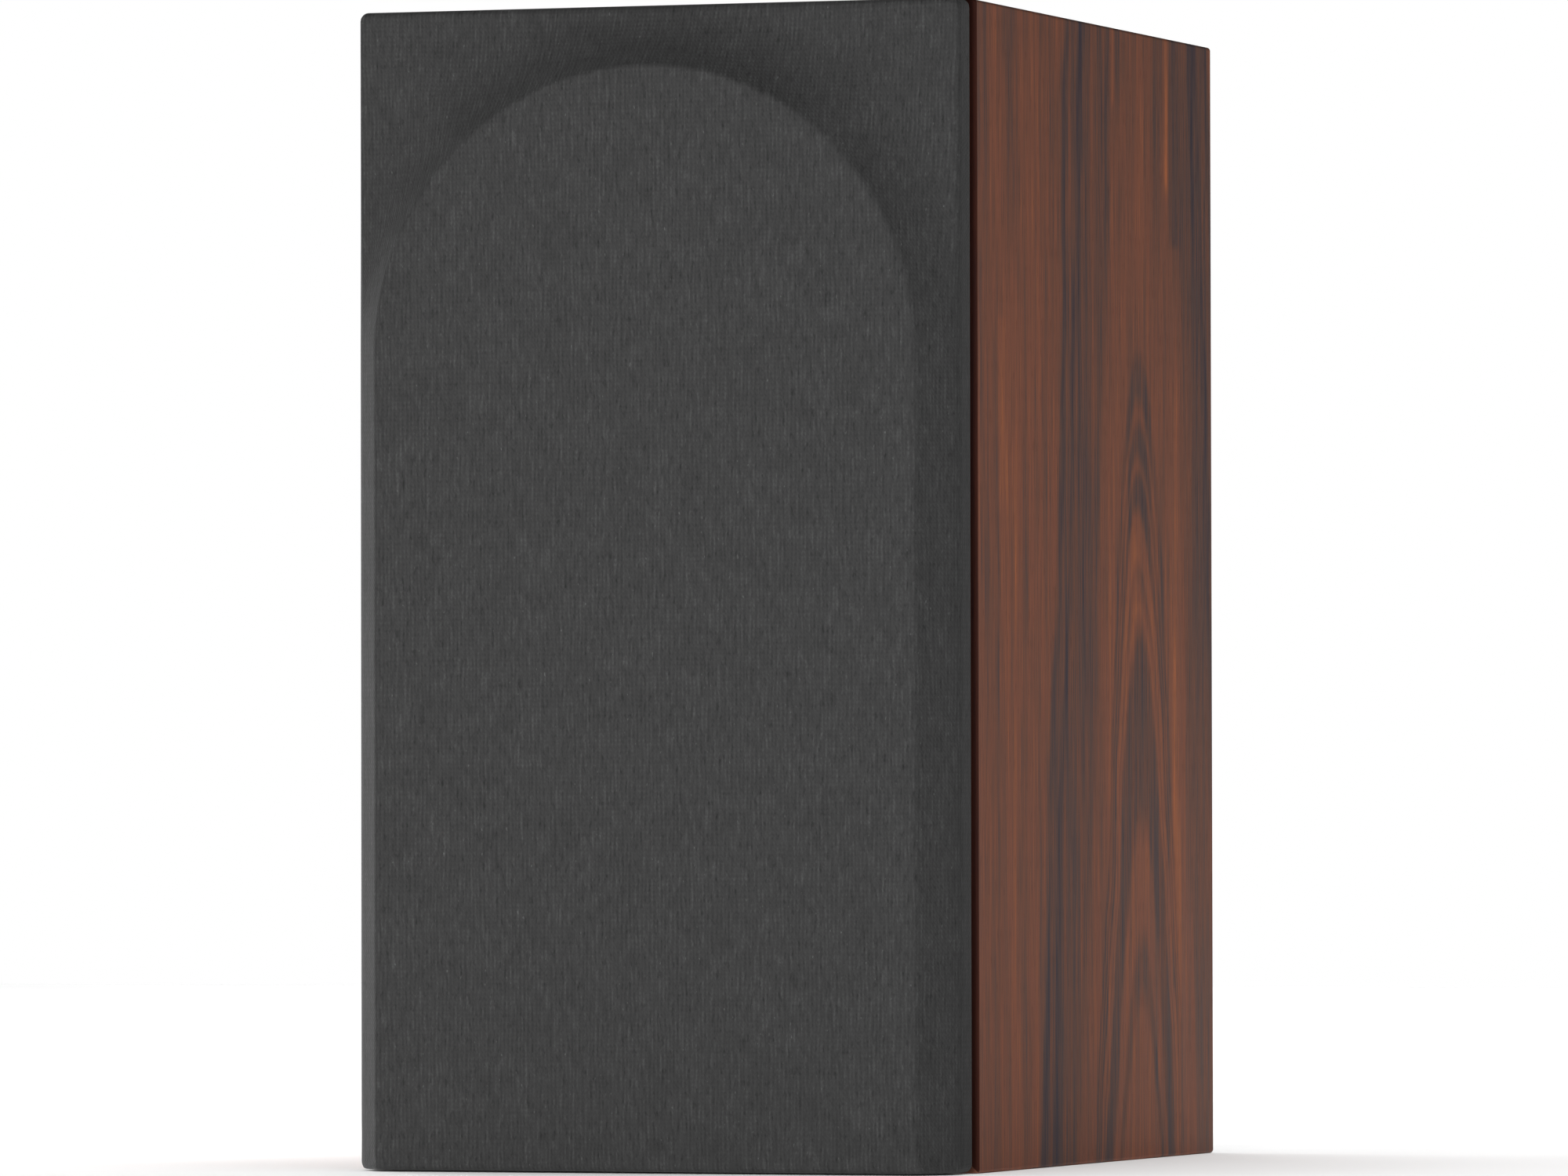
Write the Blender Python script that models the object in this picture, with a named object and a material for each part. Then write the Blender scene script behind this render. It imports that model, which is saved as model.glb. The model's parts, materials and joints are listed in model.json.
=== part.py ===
"""Two-way bookshelf speaker with a pull-off cloth grille, built as an assembly of separate pieces.

Metres, +Z up, the front faces -Y. The origin is the centre of the foot print, on the shelf.
"""

import math

import bmesh
import bpy
from mathutils import Matrix, Vector

# Cabinet
WIDTH = 0.200
HEIGHT = 0.364
CABINET_DEPTH = 0.244
PANEL = 0.015
GAP = 0.0003

# Grille: a wall stands square to the baffle, then the cloth slopes in to a flat arched front
GRILLE_SHADOW = 0.0047
GRILLE_WALL = 0.0110
GRILLE_RISE = 0.0131
GRILLE_CHAMFER = 0.0111
GRILLE_INSET = 0.0005
GRILLE_CORNER = 0.0020
ARCH_TOP_MARGIN = 0.0200
FOLD = 0.0020
CLOTH = 0.0008
FRAME_STILE = 0.0070
FRAME_BOTTOM_BAR = 0.0280
HOLLOW_GROWTH = 0.35
MAX_HOLLOW = 2.2
SLOPE_STEPS = 3

GRILLE_PROUD = GRILLE_SHADOW + GRILLE_WALL + GRILLE_RISE
TOTAL_DEPTH = CABINET_DEPTH + GRILLE_PROUD
FRONT_Y = -TOTAL_DEPTH / 2
LIP_Y = FRONT_Y + GRILLE_PROUD
BACK_Y = TOTAL_DEPTH / 2
GRILLE_BACK_Y = LIP_Y - GRILLE_SHADOW
ARCH_RADIUS = WIDTH / 2 - GRILLE_CHAMFER
ARCH_Z = HEIGHT - ARCH_TOP_MARGIN - ARCH_RADIUS

# Baffle: a plug inside the four panels with a thin flange over their front edges
BAFFLE_STEP = 0.0044
BAFFLE_PLUG = 0.0135
BAFFLE_REVEAL = 0.0030
BAFFLE_Y = LIP_Y - BAFFLE_STEP

# Drive units
WOOFER_Z = 0.160
WOOFER_RADIUS = 0.0760
WOOFER_SCREW_CIRCLE = 0.0710
WOOFER_LEDGE_RADIUS = 0.0660
WOOFER_FLANGE_DEPTH = 0.0045
TWEETER_Z = 0.289
TWEETER_RADIUS = 0.0480
TWEETER_SCREW_CIRCLE = 0.0420
TWEETER_MAGNET_RADIUS = 0.0300
TWEETER_PLATE_DEPTH = 0.0043
FIRST_SCREW_ANGLE = 45
SCREW_RADIUS = 0.0019
SCREW_HEAD_RADIUS = 0.0037
SCREW_HEAD_DEPTH = 0.0015
DRIVER_SCREW_LENGTH = 0.0130

# Grille fixings
PEG_X = 0.074
PEG_LOW_Z = 0.021
PEG_HIGH_Z = 0.339
PEG_RADIUS = 0.0028
PEG_HOLE_DEPTH = 0.0085
SOCKET_RADIUS = 0.0050
SOCKET_RIM_RADIUS = 0.0065
SOCKET_RIM = 0.0009

# Rear
REAR_RECESS = 0.0040
REAR_Y = BACK_Y - REAR_RECESS
PORT_Z = 0.262
PORT_TUBE_RADIUS = 0.0300
PORT_BORE_RADIUS = 0.0220
PORT_LENGTH = 0.108
CUP_Z = 0.088
CUP_HALF_WIDTH = 0.042
CUP_HALF_HEIGHT = 0.031
CUP_DEPTH = 0.0240
CUP_MOUTH_HALF_WIDTH = 0.0335
CUP_MOUTH_HALF_HEIGHT = 0.0225
TERMINAL_SCREW_RADIUS = 0.0016
TERMINAL_SCREW_LENGTH = 0.0120
TERMINAL_HEAD_RADIUS = 0.0033
TERMINAL_HEAD_DEPTH = 0.0008
CUP_SCREW_X = 0.0375
CUP_SCREW_Z = 0.0255
POST_SPACING = 0.019
STUD_RADIUS = 0.0026
CUP_FLANGE_Y = REAR_Y + GAP
CUP_FACE_Y = CUP_FLANGE_Y + 0.0025
CUP_FLOOR_Y = CUP_FACE_Y - CUP_DEPTH

# Facets in a full turn
LARGE_TURN = 32
MEDIUM_TURN = 24
ROD_TURN = 16
SMALL_TURN = 10

# Colour, roughness and metallic value of each material
FINISHES = {
    "veneer": ((0.13, 0.06, 0.05), 0.45, 0.0),
    "baffle_paint": ((0.012, 0.012, 0.013), 0.6, 0.0),
    "grille_cloth": ((0.055, 0.055, 0.057), 0.95, 0.0),
    "grille_board": ((0.02, 0.02, 0.02), 0.7, 0.0),
    "black_plastic": ((0.02, 0.02, 0.022), 0.45, 0.0),
    "red_plastic": ((0.45, 0.02, 0.02), 0.4, 0.0),
    "cone_paper": ((0.03, 0.03, 0.032), 0.8, 0.0),
    "surround_rubber": ((0.015, 0.015, 0.015), 0.6, 0.0),
    "dome_silk": ((0.02, 0.02, 0.022), 0.7, 0.0),
    "spider_cloth": ((0.45, 0.30, 0.12), 0.9, 0.0),
    "basket_metal": ((0.03, 0.03, 0.032), 0.5, 0.6),
    "plated_steel": ((0.55, 0.55, 0.57), 0.35, 1.0),
    "dark_screw": ((0.03, 0.03, 0.032), 0.35, 0.9),
    "ferrite": ((0.05, 0.05, 0.055), 0.7, 0.1),
    "copper_coil": ((0.6, 0.25, 0.10), 0.35, 1.0),
    "gold_plate": ((0.85, 0.62, 0.25), 0.25, 1.0),
    "circuit_board": ((0.03, 0.16, 0.07), 0.5, 0.0),
    "capacitor_film": ((0.55, 0.45, 0.08), 0.4, 0.0),
    "lead_sleeve": ((0.05, 0.05, 0.05), 0.5, 0.0),
    "foam": ((0.10, 0.10, 0.11), 0.95, 0.0),
}


def clear_scene():
    for old in list(bpy.data.objects):
        bpy.data.objects.remove(old, do_unlink=True)


def material(slot):
    """The slot's material, made on first use."""
    found = bpy.data.materials.get(slot)
    if found:
        return found
    colour, roughness, metallic = FINISHES[slot]
    made = bpy.data.materials.new(slot)
    made.use_nodes = True
    shader = made.node_tree.nodes["Principled BSDF"]
    shader.inputs["Base Color"].default_value = (*colour, 1.0)
    shader.inputs["Roughness"].default_value = roughness
    shader.inputs["Metallic"].default_value = metallic
    return made


def add_piece(name, bm, slot, location=(0, 0, 0), smooth=False):
    """Turn bm into a named object with its faces pointing out."""
    bmesh.ops.remove_doubles(bm, verts=bm.verts, dist=1e-6)
    bmesh.ops.recalc_face_normals(bm, faces=bm.faces)
    mesh = bpy.data.meshes.new(name)
    bm.to_mesh(mesh)
    bm.free()
    if smooth:
        mesh.shade_smooth()
        mesh.set_sharp_from_angle(angle=math.radians(32))
    mesh.materials.append(material(slot))
    piece = bpy.data.objects.new(name, mesh)
    piece.location = location
    bpy.context.collection.objects.link(piece)
    return piece


def loft(bm, loops, closed=False):
    """Join loops of equally many points with faces, and cap both ends unless the loft is closed."""
    rings = [[bm.verts.new(point) for point in loop] for loop in loops]
    pairs = list(zip(rings, rings[1:]))
    if closed:
        pairs.append((rings[-1], rings[0]))
    for lower, upper in pairs:
        for i in range(len(lower)):
            j = (i + 1) % len(lower)
            bm.faces.new((lower[i], lower[j], upper[j], upper[i]))
    if not closed:
        bm.faces.new(rings[0])
        bm.faces.new(rings[-1])


def revolve(bm, profile, facets, centre=(0, 0, 0), flutes=0.0):
    """Turn a profile of (radius, depth) points about the Y axis through centre.

    A profile that starts and ends on the axis makes a solid piece, any other closes on itself as a
    ring. Flutes is how much every second facet line sits below the others, for a finger grip.
    """
    middle = Vector(centre)
    rings = []
    for radius, depth in profile:
        if radius < 1e-6:
            rings.append([bm.verts.new(middle + Vector((0, depth, 0)))])
            continue
        ring = []
        for i in range(facets):
            angle = 2 * math.pi * i / facets
            reach = radius - flutes * (i % 2)
            offset = Vector((reach * math.cos(angle), depth, reach * math.sin(angle)))
            ring.append(bm.verts.new(middle + offset))
        rings.append(ring)
    pairs = list(zip(rings, rings[1:]))
    if len(rings[0]) > 1:
        pairs.append((rings[-1], rings[0]))
    for first, second in pairs:
        for i in range(facets):
            j = (i + 1) % facets
            near = [first[k % len(first)] for k in (i, j)]
            far = [second[k % len(second)] for k in (j, i)]
            bm.faces.new(list(dict.fromkeys(near + far)))


def turned(name, profile, slot, location, facets=LARGE_TURN, upright=False, flutes=0.0):
    """A turned piece. Its axis runs along Y, or along Z if it is upright."""
    bm = bmesh.new()
    revolve(bm, profile, facets, flutes=flutes)
    if upright:
        bmesh.ops.rotate(bm, verts=bm.verts, cent=(0, 0, 0), matrix=Matrix.Rotation(math.pi / 2, 3, "X"))
    return add_piece(name, bm, slot, location, smooth=True)


def rounded_rectangle(half_width, low_z, high_z, radius, y, steps=2):
    """Points of an upright rectangle with round corners, anticlockwise seen from the front."""
    corners = (
        (half_width - radius, low_z + radius, -90),
        (half_width - radius, high_z - radius, 0),
        (-half_width + radius, high_z - radius, 90),
        (-half_width + radius, low_z + radius, 180),
    )
    points = []
    for x, z, start in corners:
        for i in range(steps + 1):
            angle = math.radians(start + 90 * i / steps)
            points.append(Vector((x + radius * math.cos(angle), y, z + radius * math.sin(angle))))
    return points


def block(name, low, high, slot):
    """A rectangular block between two corners."""
    bm = bmesh.new()
    outline = ((low[0], low[2]), (high[0], low[2]), (high[0], high[2]), (low[0], high[2]))
    loft(bm, [[Vector((x, y, z)) for x, z in outline] for y in (low[1], high[1])])
    return add_piece(name, bm, slot)


def cut(target, name, bm):
    """Cut the closed shapes in bm out of target."""
    cutter = add_piece(name, bm, "black_plastic")
    cutter.hide_render = True
    cutter.hide_set(True)
    cutter.display_type = "WIRE"
    boolean = target.modifiers.new(name, "BOOLEAN")
    boolean.operation = "DIFFERENCE"
    boolean.solver = "EXACT"
    boolean.object = cutter


def cut_turned(target, name, profile, places, facets=SMALL_TURN):
    """Cut one turned hole at each of places, which are points on the holes' axes."""
    bm = bmesh.new()
    for place in places:
        revolve(bm, profile, facets, place)
    cut(target, name, bm)


def around(radius, count, first_angle, y, z):
    """Points spread evenly on a circle about the Y axis through x = 0 and z."""
    angles = [math.radians(first_angle) + 2 * math.pi * i / count for i in range(count)]
    return [Vector((radius * math.cos(a), y, z + radius * math.sin(a))) for a in angles]


# ---------------------------------------------------------------- cabinet


def cabinet_panels():
    """Four panels mitred into a sleeve, with a fine joint line at each mitre."""
    joint = GAP / math.sqrt(2)
    half = WIDTH / 2
    side = (
        (half, joint),
        (half, HEIGHT - joint),
        (half - PANEL, HEIGHT - PANEL - joint),
        (half - PANEL, PANEL + joint),
    )
    flat = (
        (-half + joint, 0),
        (half - joint, 0),
        (half - PANEL - joint, PANEL),
        (-half + PANEL + joint, PANEL),
    )
    outlines = {
        "side_panel_right": side,
        "side_panel_left": [(-x, z) for x, z in side],
        "bottom_panel": flat,
        "top_panel": [(x, HEIGHT - z) for x, z in flat],
    }
    for name, outline in outlines.items():
        bm = bmesh.new()
        loft(bm, [[Vector((x, y, z)) for x, z in outline] for y in (LIP_Y, BACK_Y)])
        add_piece(name, bm, "veneer")


def woofer_screw_places():
    return around(WOOFER_SCREW_CIRCLE, 4, FIRST_SCREW_ANGLE, BAFFLE_Y + GAP, WOOFER_Z)


def tweeter_screw_places():
    return around(TWEETER_SCREW_CIRCLE, 4, FIRST_SCREW_ANGLE, BAFFLE_Y + GAP, TWEETER_Z)


def peg_places(y):
    return [Vector((x, y, z)) for z in (PEG_LOW_Z, PEG_HIGH_Z) for x in (-PEG_X, PEG_X)]


def stepped_hole(seat_radius, seat_depth, bore_radius, length, start=-0.005):
    """Profile of a hole with a shallow wide seat in front of its bore."""
    return [
        (0, start),
        (seat_radius, start),
        (seat_radius, seat_depth),
        (bore_radius, seat_depth),
        (bore_radius, length),
        (0, length),
    ]


def plain_hole(radius, start, end):
    """Profile of a straight hole."""
    return [(0, start), (radius, start), (radius, end), (0, end)]


def front_baffle():
    """The black board that carries the drive units."""
    bm = bmesh.new()
    reveal_half = WIDTH / 2 - BAFFLE_REVEAL
    plug_half = WIDTH / 2 - PANEL - GAP
    step_y = LIP_Y - GAP
    loft(
        bm,
        [
            rounded_rectangle(reveal_half, BAFFLE_REVEAL, HEIGHT - BAFFLE_REVEAL, 0.003, BAFFLE_Y),
            rounded_rectangle(reveal_half, BAFFLE_REVEAL, HEIGHT - BAFFLE_REVEAL, 0.003, step_y),
            rounded_rectangle(plug_half, PANEL + GAP, HEIGHT - PANEL - GAP, 0.001, step_y),
            rounded_rectangle(plug_half, PANEL + GAP, HEIGHT - PANEL - GAP, 0.001, LIP_Y + BAFFLE_PLUG),
        ],
    )
    board = add_piece("front_baffle", bm, "baffle_paint")
    through = BAFFLE_STEP + BAFFLE_PLUG + 0.005
    woofer_seat = WOOFER_FLANGE_DEPTH + GAP
    tweeter_seat = TWEETER_PLATE_DEPTH + GAP
    woofer_hole = stepped_hole(WOOFER_RADIUS + GAP, woofer_seat, WOOFER_LEDGE_RADIUS + GAP, through)
    tweeter_hole = stepped_hole(TWEETER_RADIUS + GAP, tweeter_seat, TWEETER_MAGNET_RADIUS + 0.004, through)
    socket_hole = stepped_hole(SOCKET_RIM_RADIUS + GAP, SOCKET_RIM + GAP, SOCKET_RADIUS + GAP, through)
    pilot = plain_hole(SCREW_RADIUS + GAP, 0.001, DRIVER_SCREW_LENGTH + 0.0005)
    cut_turned(board, "woofer_cut_out", woofer_hole, [Vector((0, BAFFLE_Y, WOOFER_Z))], LARGE_TURN)
    cut_turned(board, "tweeter_cut_out", tweeter_hole, [Vector((0, BAFFLE_Y, TWEETER_Z))], LARGE_TURN)
    cut_turned(board, "socket_holes", socket_hole, peg_places(BAFFLE_Y))
    cut_turned(board, "driver_pilot_holes", pilot, woofer_screw_places() + tweeter_screw_places())


def rear_panel():
    """Back board, set a little into the sleeve, with the port and terminal cut-outs."""
    low = (-WIDTH / 2 + PANEL + GAP, REAR_Y - PANEL, PANEL + GAP)
    high = (WIDTH / 2 - PANEL - GAP, REAR_Y, HEIGHT - PANEL - GAP)
    board = block("rear_panel", low, high, "baffle_paint")
    port_hole = plain_hole(PORT_TUBE_RADIUS + GAP, -2 * PANEL, PANEL)
    cut_turned(board, "port_cut_out", port_hole, [Vector((0, REAR_Y, PORT_Z))], MEDIUM_TURN)
    opening_half_width = CUP_MOUTH_HALF_WIDTH + 0.003
    opening_half_height = CUP_MOUTH_HALF_HEIGHT + 0.003
    low_z = CUP_Z - opening_half_height
    high_z = CUP_Z + opening_half_height
    bm = bmesh.new()
    loft(
        bm,
        [
            rounded_rectangle(opening_half_width, low_z, high_z, 0.005, REAR_Y - 2 * PANEL),
            rounded_rectangle(opening_half_width, low_z, high_z, 0.005, REAR_Y + PANEL),
        ],
    )
    cut(board, "terminal_cut_out", bm)
    pilot = plain_hole(TERMINAL_SCREW_RADIUS + GAP, -TERMINAL_SCREW_LENGTH - 0.0005, PANEL)
    cut_turned(board, "terminal_pilot_holes", pilot, terminal_screw_places())


def damping_foam():
    """A slab of acoustic foam on the inside of the left panel."""
    face_x = -WIDTH / 2 + PANEL + GAP
    block("damping_foam", (face_x, -0.020, 0.070), (face_x + 0.012, 0.095, 0.330), "foam")


# ---------------------------------------------------------------- rear fittings


def port_tube():
    """Flared reflex port: the flange rests on the back board and the tube runs inside."""
    profile = [
        (PORT_BORE_RADIUS, -PORT_LENGTH),
        (PORT_BORE_RADIUS, -0.022),
        (0.0228, -0.012),
        (0.0252, -0.005),
        (0.0275, 0.0002),
        (0.0310, 0.0028),
        (0.0350, 0.0028),
        (0.0362, 0.0018),
        (0.0362, GAP),
        (PORT_TUBE_RADIUS, GAP),
        (PORT_TUBE_RADIUS, -0.004),
        (0.0258, -0.014),
        (0.0247, -0.022),
        (0.0247, -PORT_LENGTH),
    ]
    turned("port_tube", profile, "black_plastic", (0, REAR_Y, PORT_Z), facets=MEDIUM_TURN)


def terminal_screw_places():
    corners = [(x, z) for z in (-CUP_SCREW_Z, CUP_SCREW_Z) for x in (-CUP_SCREW_X, CUP_SCREW_X)]
    return [Vector((x, CUP_FACE_Y, CUP_Z + z)) for x, z in corners]


def post_places(y):
    """The red post is on the right and the black post on the left, seen from behind."""
    offset = POST_SPACING / 2
    return {"red": Vector((-offset, y, CUP_Z)), "black": Vector((offset, y, CUP_Z))}


def terminal_cup():
    """Recessed dish in the back board, with a flat flange and a floor that carries the posts."""
    wall = 0.0020
    floor_half_width = 0.0290
    floor_half_height = 0.0180
    mouth_half_width = CUP_MOUTH_HALF_WIDTH
    mouth_half_height = CUP_MOUTH_HALF_HEIGHT

    def outline(half_width, half_height, radius, y):
        return rounded_rectangle(half_width, CUP_Z - half_height, CUP_Z + half_height, radius, y, steps=3)

    bm = bmesh.new()
    loft(
        bm,
        [
            outline(floor_half_width, floor_half_height, 0.004, CUP_FLOOR_Y),
            outline(mouth_half_width, mouth_half_height, 0.006, CUP_FACE_Y),
            outline(CUP_HALF_WIDTH, CUP_HALF_HEIGHT, 0.004, CUP_FACE_Y),
            outline(CUP_HALF_WIDTH, CUP_HALF_HEIGHT, 0.004, CUP_FLANGE_Y),
            outline(mouth_half_width + wall, mouth_half_height + wall, 0.007, CUP_FLANGE_Y),
            outline(floor_half_width + wall, floor_half_height + wall, 0.005, CUP_FLOOR_Y - wall),
        ],
    )
    cup = add_piece("terminal_cup", bm, "black_plastic")
    stud_hole = plain_hole(STUD_RADIUS + GAP, -0.01, 0.01)
    cut_turned(cup, "stud_holes", stud_hole, list(post_places(CUP_FLOOR_Y).values()))
    front_hole = stepped_hole(TERMINAL_HEAD_RADIUS + GAP, TERMINAL_HEAD_DEPTH + GAP, 0.0021, 0.006, -0.002)
    screw_hole = [(radius, -depth) for radius, depth in front_hole]
    cut_turned(cup, "terminal_screw_holes", screw_hole, terminal_screw_places())


def flat_head_screw(name, place, head_radius, head, shank_radius, length, inward):
    """A screw whose flat head sits at place. Inward is +1 if it is driven along +Y, and -1 along -Y."""
    profile = stepped_hole(head_radius, head, shank_radius, length, start=0)
    turned(name, [(radius, inward * depth) for radius, depth in profile], "dark_screw", place, SMALL_TURN)


def terminal_screws():
    shape = (TERMINAL_HEAD_RADIUS, TERMINAL_HEAD_DEPTH, TERMINAL_SCREW_RADIUS, TERMINAL_SCREW_LENGTH)
    for number, place in enumerate(terminal_screw_places(), 1):
        flat_head_screw(f"terminal_screw_{number}", place, *shape, inward=-1)


def driver_screws(driver, places):
    """The four screws that hold a drive unit to the baffle."""
    shape = (SCREW_HEAD_RADIUS, SCREW_HEAD_DEPTH, SCREW_RADIUS, DRIVER_SCREW_LENGTH)
    for number, place in enumerate(places, 1):
        flat_head_screw(f"{driver}_screw_{number}", place, *shape, inward=1)


def binding_posts():
    """Each post is a fixed stud, a round threaded insert that travels along it, and a cap that turns it."""
    stud = [
        (0, -0.013),
        (STUD_RADIUS, -0.013),
        (STUD_RADIUS, GAP),
        (0.0055, GAP),
        (0.0055, 0.0023),
        (STUD_RADIUS, 0.0023),
        (STUD_RADIUS, 0.0135),
        (0, 0.0135),
    ]
    insert = [(0.0029, 0.0028), (0.0045, 0.0028), (0.0045, 0.0150), (0.0029, 0.0150)]
    cap = [
        (0.0048, 0.0030),
        (0.0066, 0.0030),
        (0.0070, 0.0040),
        (0.0070, 0.0160),
        (0.0060, 0.0172),
        (0.0023, 0.0172),
        (0.0023, 0.0153),
        (0.0048, 0.0153),
    ]
    for colour, place in post_places(CUP_FLOOR_Y).items():
        turned(f"{colour}_post_stud", stud, "gold_plate", place, SMALL_TURN)
        turned(f"{colour}_post_insert", insert, "gold_plate", place, ROD_TURN)
        turned(f"{colour}_post_cap", cap, f"{colour}_plastic", place, MEDIUM_TURN, flutes=0.0003)


# ---------------------------------------------------------------- woofer


def driver_screw_hole():
    """Profile of the hole in a drive unit's flange, with a sunk seat for the screw's head."""
    return stepped_hole(SCREW_HEAD_RADIUS + GAP, SCREW_HEAD_DEPTH + GAP, SCREW_RADIUS + GAP, 0.008)


def woofer_basket():
    """Flange, sloping spokes and rear ring in one casting. Depths are behind the baffle's face."""
    profile = [
        (WOOFER_RADIUS, GAP),
        (WOOFER_LEDGE_RADIUS, GAP),
        (WOOFER_LEDGE_RADIUS, 0.0025),
        (0.0615, 0.0025),
        (0.0615, 0.0090),
        (0.0400, 0.0300),
        (0.0400, 0.0340),
        (0.0340, 0.0340),
        (0.0340, 0.0460),
        (0.0200, 0.0460),
        (0.0200, 0.0485),
        (0.0365, 0.0485),
        (0.0365, 0.0365),
        (0.0425, 0.0365),
        (0.0425, 0.0312),
        (0.0640, 0.0102),
        (0.0640, WOOFER_FLANGE_DEPTH),
        (WOOFER_RADIUS, WOOFER_FLANGE_DEPTH),
    ]
    basket = turned("woofer_basket", profile, "basket_metal", (0, BAFFLE_Y, WOOFER_Z))
    cut_turned(basket, "woofer_screw_holes", driver_screw_hole(), woofer_screw_places())
    window_count = 6
    window_size = Matrix.Diagonal((0.040, 0.0150, 0.036, 1))
    window_middle = Matrix.Translation((0, BAFFLE_Y + 0.0205, WOOFER_Z))
    outward = Matrix.Translation((0.052, 0, 0))
    windows = bmesh.new()
    for i in range(window_count):
        turn = Matrix.Rotation(2 * math.pi * (i + 0.5) / window_count, 4, "Y")
        bmesh.ops.create_cube(windows, size=1, matrix=window_middle @ turn @ outward @ window_size)
    cut(basket, "basket_windows", windows)


def woofer_motor():
    """Front plate, ferrite ring, and the yoke whose vented pole stands inside the voice coil."""
    place = (0, BAFFLE_Y, WOOFER_Z)
    plate = [(0.0142, 0.0488), (0.0370, 0.0488), (0.0370, 0.0538), (0.0142, 0.0538)]
    ferrite = [(0.0200, 0.0541), (0.0430, 0.0541), (0.0430, 0.0691), (0.0200, 0.0691)]
    yoke = [
        (0.0040, 0.0490),
        (0.0120, 0.0490),
        (0.0120, 0.0694),
        (0.0400, 0.0694),
        (0.0400, 0.0744),
        (0.0040, 0.0744),
    ]
    turned("woofer_front_plate", plate, "plated_steel", place, MEDIUM_TURN)
    turned("woofer_magnet", ferrite, "ferrite", place, MEDIUM_TURN)
    turned("woofer_yoke", yoke, "plated_steel", place, MEDIUM_TURN)


def half_roll(middle, radius, depth, start, end, steps):
    """Points of a half circle that bulges forward, from one angle to another in degrees."""
    angles = [math.radians(start + (end - start) * i / steps) for i in range(steps + 1)]
    return [(middle + radius * math.cos(a), depth - radius * math.sin(a)) for a in angles]


def woofer_surround():
    """Rubber half roll between the basket's ledge and the cone's rim."""
    outer_edge = 0.0657
    inner_edge = 0.0470
    roll_middle = 0.0559
    roll_radius = 0.0050
    depth = 0.0014
    thickness = 0.0008
    front = half_roll(roll_middle, roll_radius, depth, 0, 180, 5)
    back = half_roll(roll_middle, roll_radius - thickness, depth + thickness, 180, 0, 5)
    profile = [(outer_edge, depth), *front, (inner_edge, depth)]
    profile += [(inner_edge, depth + thickness), *back, (outer_edge, depth + thickness)]
    turned("woofer_surround", profile, "surround_rubber", (0, BAFFLE_Y, WOOFER_Z))


def woofer_spider():
    """Pleated centring cloth between the basket's inner ledge and the voice coil."""
    pleats = 5
    inner_radius = 0.0132
    land_radius = 0.0340
    outer_radius = 0.0397
    depth = 0.0331
    pleat_height = 0.0022
    thickness = 0.0006
    front = []
    for i in range(pleats + 1):
        radius = inner_radius + (land_radius - inner_radius) * i / pleats
        front.append((radius, depth - pleat_height * (i % 2)))
    front.append((outer_radius, depth - pleat_height * (pleats % 2)))
    back = [(radius, depth + thickness) for radius, depth in reversed(front)]
    turned("woofer_spider", front + back, "spider_cloth", (0, BAFFLE_Y, WOOFER_Z), MEDIUM_TURN)


def woofer_cone():
    """Paper cone, steeper towards the neck, with a flat rim under the surround."""
    outer_radius = 0.0506
    rim_radius = 0.0468
    neck_radius = 0.0132
    rim_depth = 0.0025
    cone_depth = 0.0255
    curve = 1.15
    thickness = 0.0010
    steps = 4
    front = [(outer_radius, rim_depth)]
    for i in range(steps + 1):
        share = i / steps
        radius = rim_radius + (neck_radius - rim_radius) * share
        front.append((radius, rim_depth + cone_depth * share**curve))
    back = [(radius, depth + thickness) for radius, depth in reversed(front)]
    turned("woofer_cone", front + back, "cone_paper", (0, BAFFLE_Y, WOOFER_Z))


def dome_profile(radius, rise, edge_depth, steps=4):
    """Points of a shallow dome that bulges forward, from its middle to its edge."""
    sphere = (radius**2 + rise**2) / (2 * rise)
    points = []
    for i in range(steps + 1):
        reach = radius * i / steps
        points.append((reach, edge_depth - rise + sphere - math.sqrt(sphere**2 - reach**2)))
    return points


def woofer_dust_cap():
    """Shallow dome over the cone's neck."""
    radius = 0.0175
    rise = 0.0065
    edge_depth = 0.0239
    thickness = 0.0008
    front = dome_profile(radius, rise, edge_depth)
    inner = [(reach * (1 - thickness / radius), depth + thickness) for reach, depth in reversed(front[:-1])]
    edge = [(radius - thickness, edge_depth)]
    turned("woofer_dust_cap", front + edge + inner, "cone_paper", (0, BAFFLE_Y, WOOFER_Z), MEDIUM_TURN)


def woofer_voice_coil():
    """Thin former with the winding around its rear end."""
    profile = [
        (0.0125, 0.0255),
        (0.0129, 0.0255),
        (0.0129, 0.0470),
        (0.0137, 0.0470),
        (0.0137, 0.0570),
        (0.0125, 0.0570),
    ]
    turned("woofer_voice_coil", profile, "copper_coil", (0, BAFFLE_Y, WOOFER_Z), MEDIUM_TURN)


# ---------------------------------------------------------------- tweeter


def tweeter_faceplate():
    """Round plate with a shallow flare down to the dome."""
    profile = [
        (TWEETER_RADIUS, 0.0010),
        (TWEETER_RADIUS - 0.0008, GAP),
        (0.0250, GAP),
        (0.0200, 0.0012),
        (0.0175, 0.0025),
        (0.0165, TWEETER_PLATE_DEPTH),
        (TWEETER_RADIUS, TWEETER_PLATE_DEPTH),
    ]
    plate = turned("tweeter_faceplate", profile, "black_plastic", (0, BAFFLE_Y, TWEETER_Z))
    cut_turned(plate, "tweeter_screw_holes", driver_screw_hole(), tweeter_screw_places())


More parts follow.
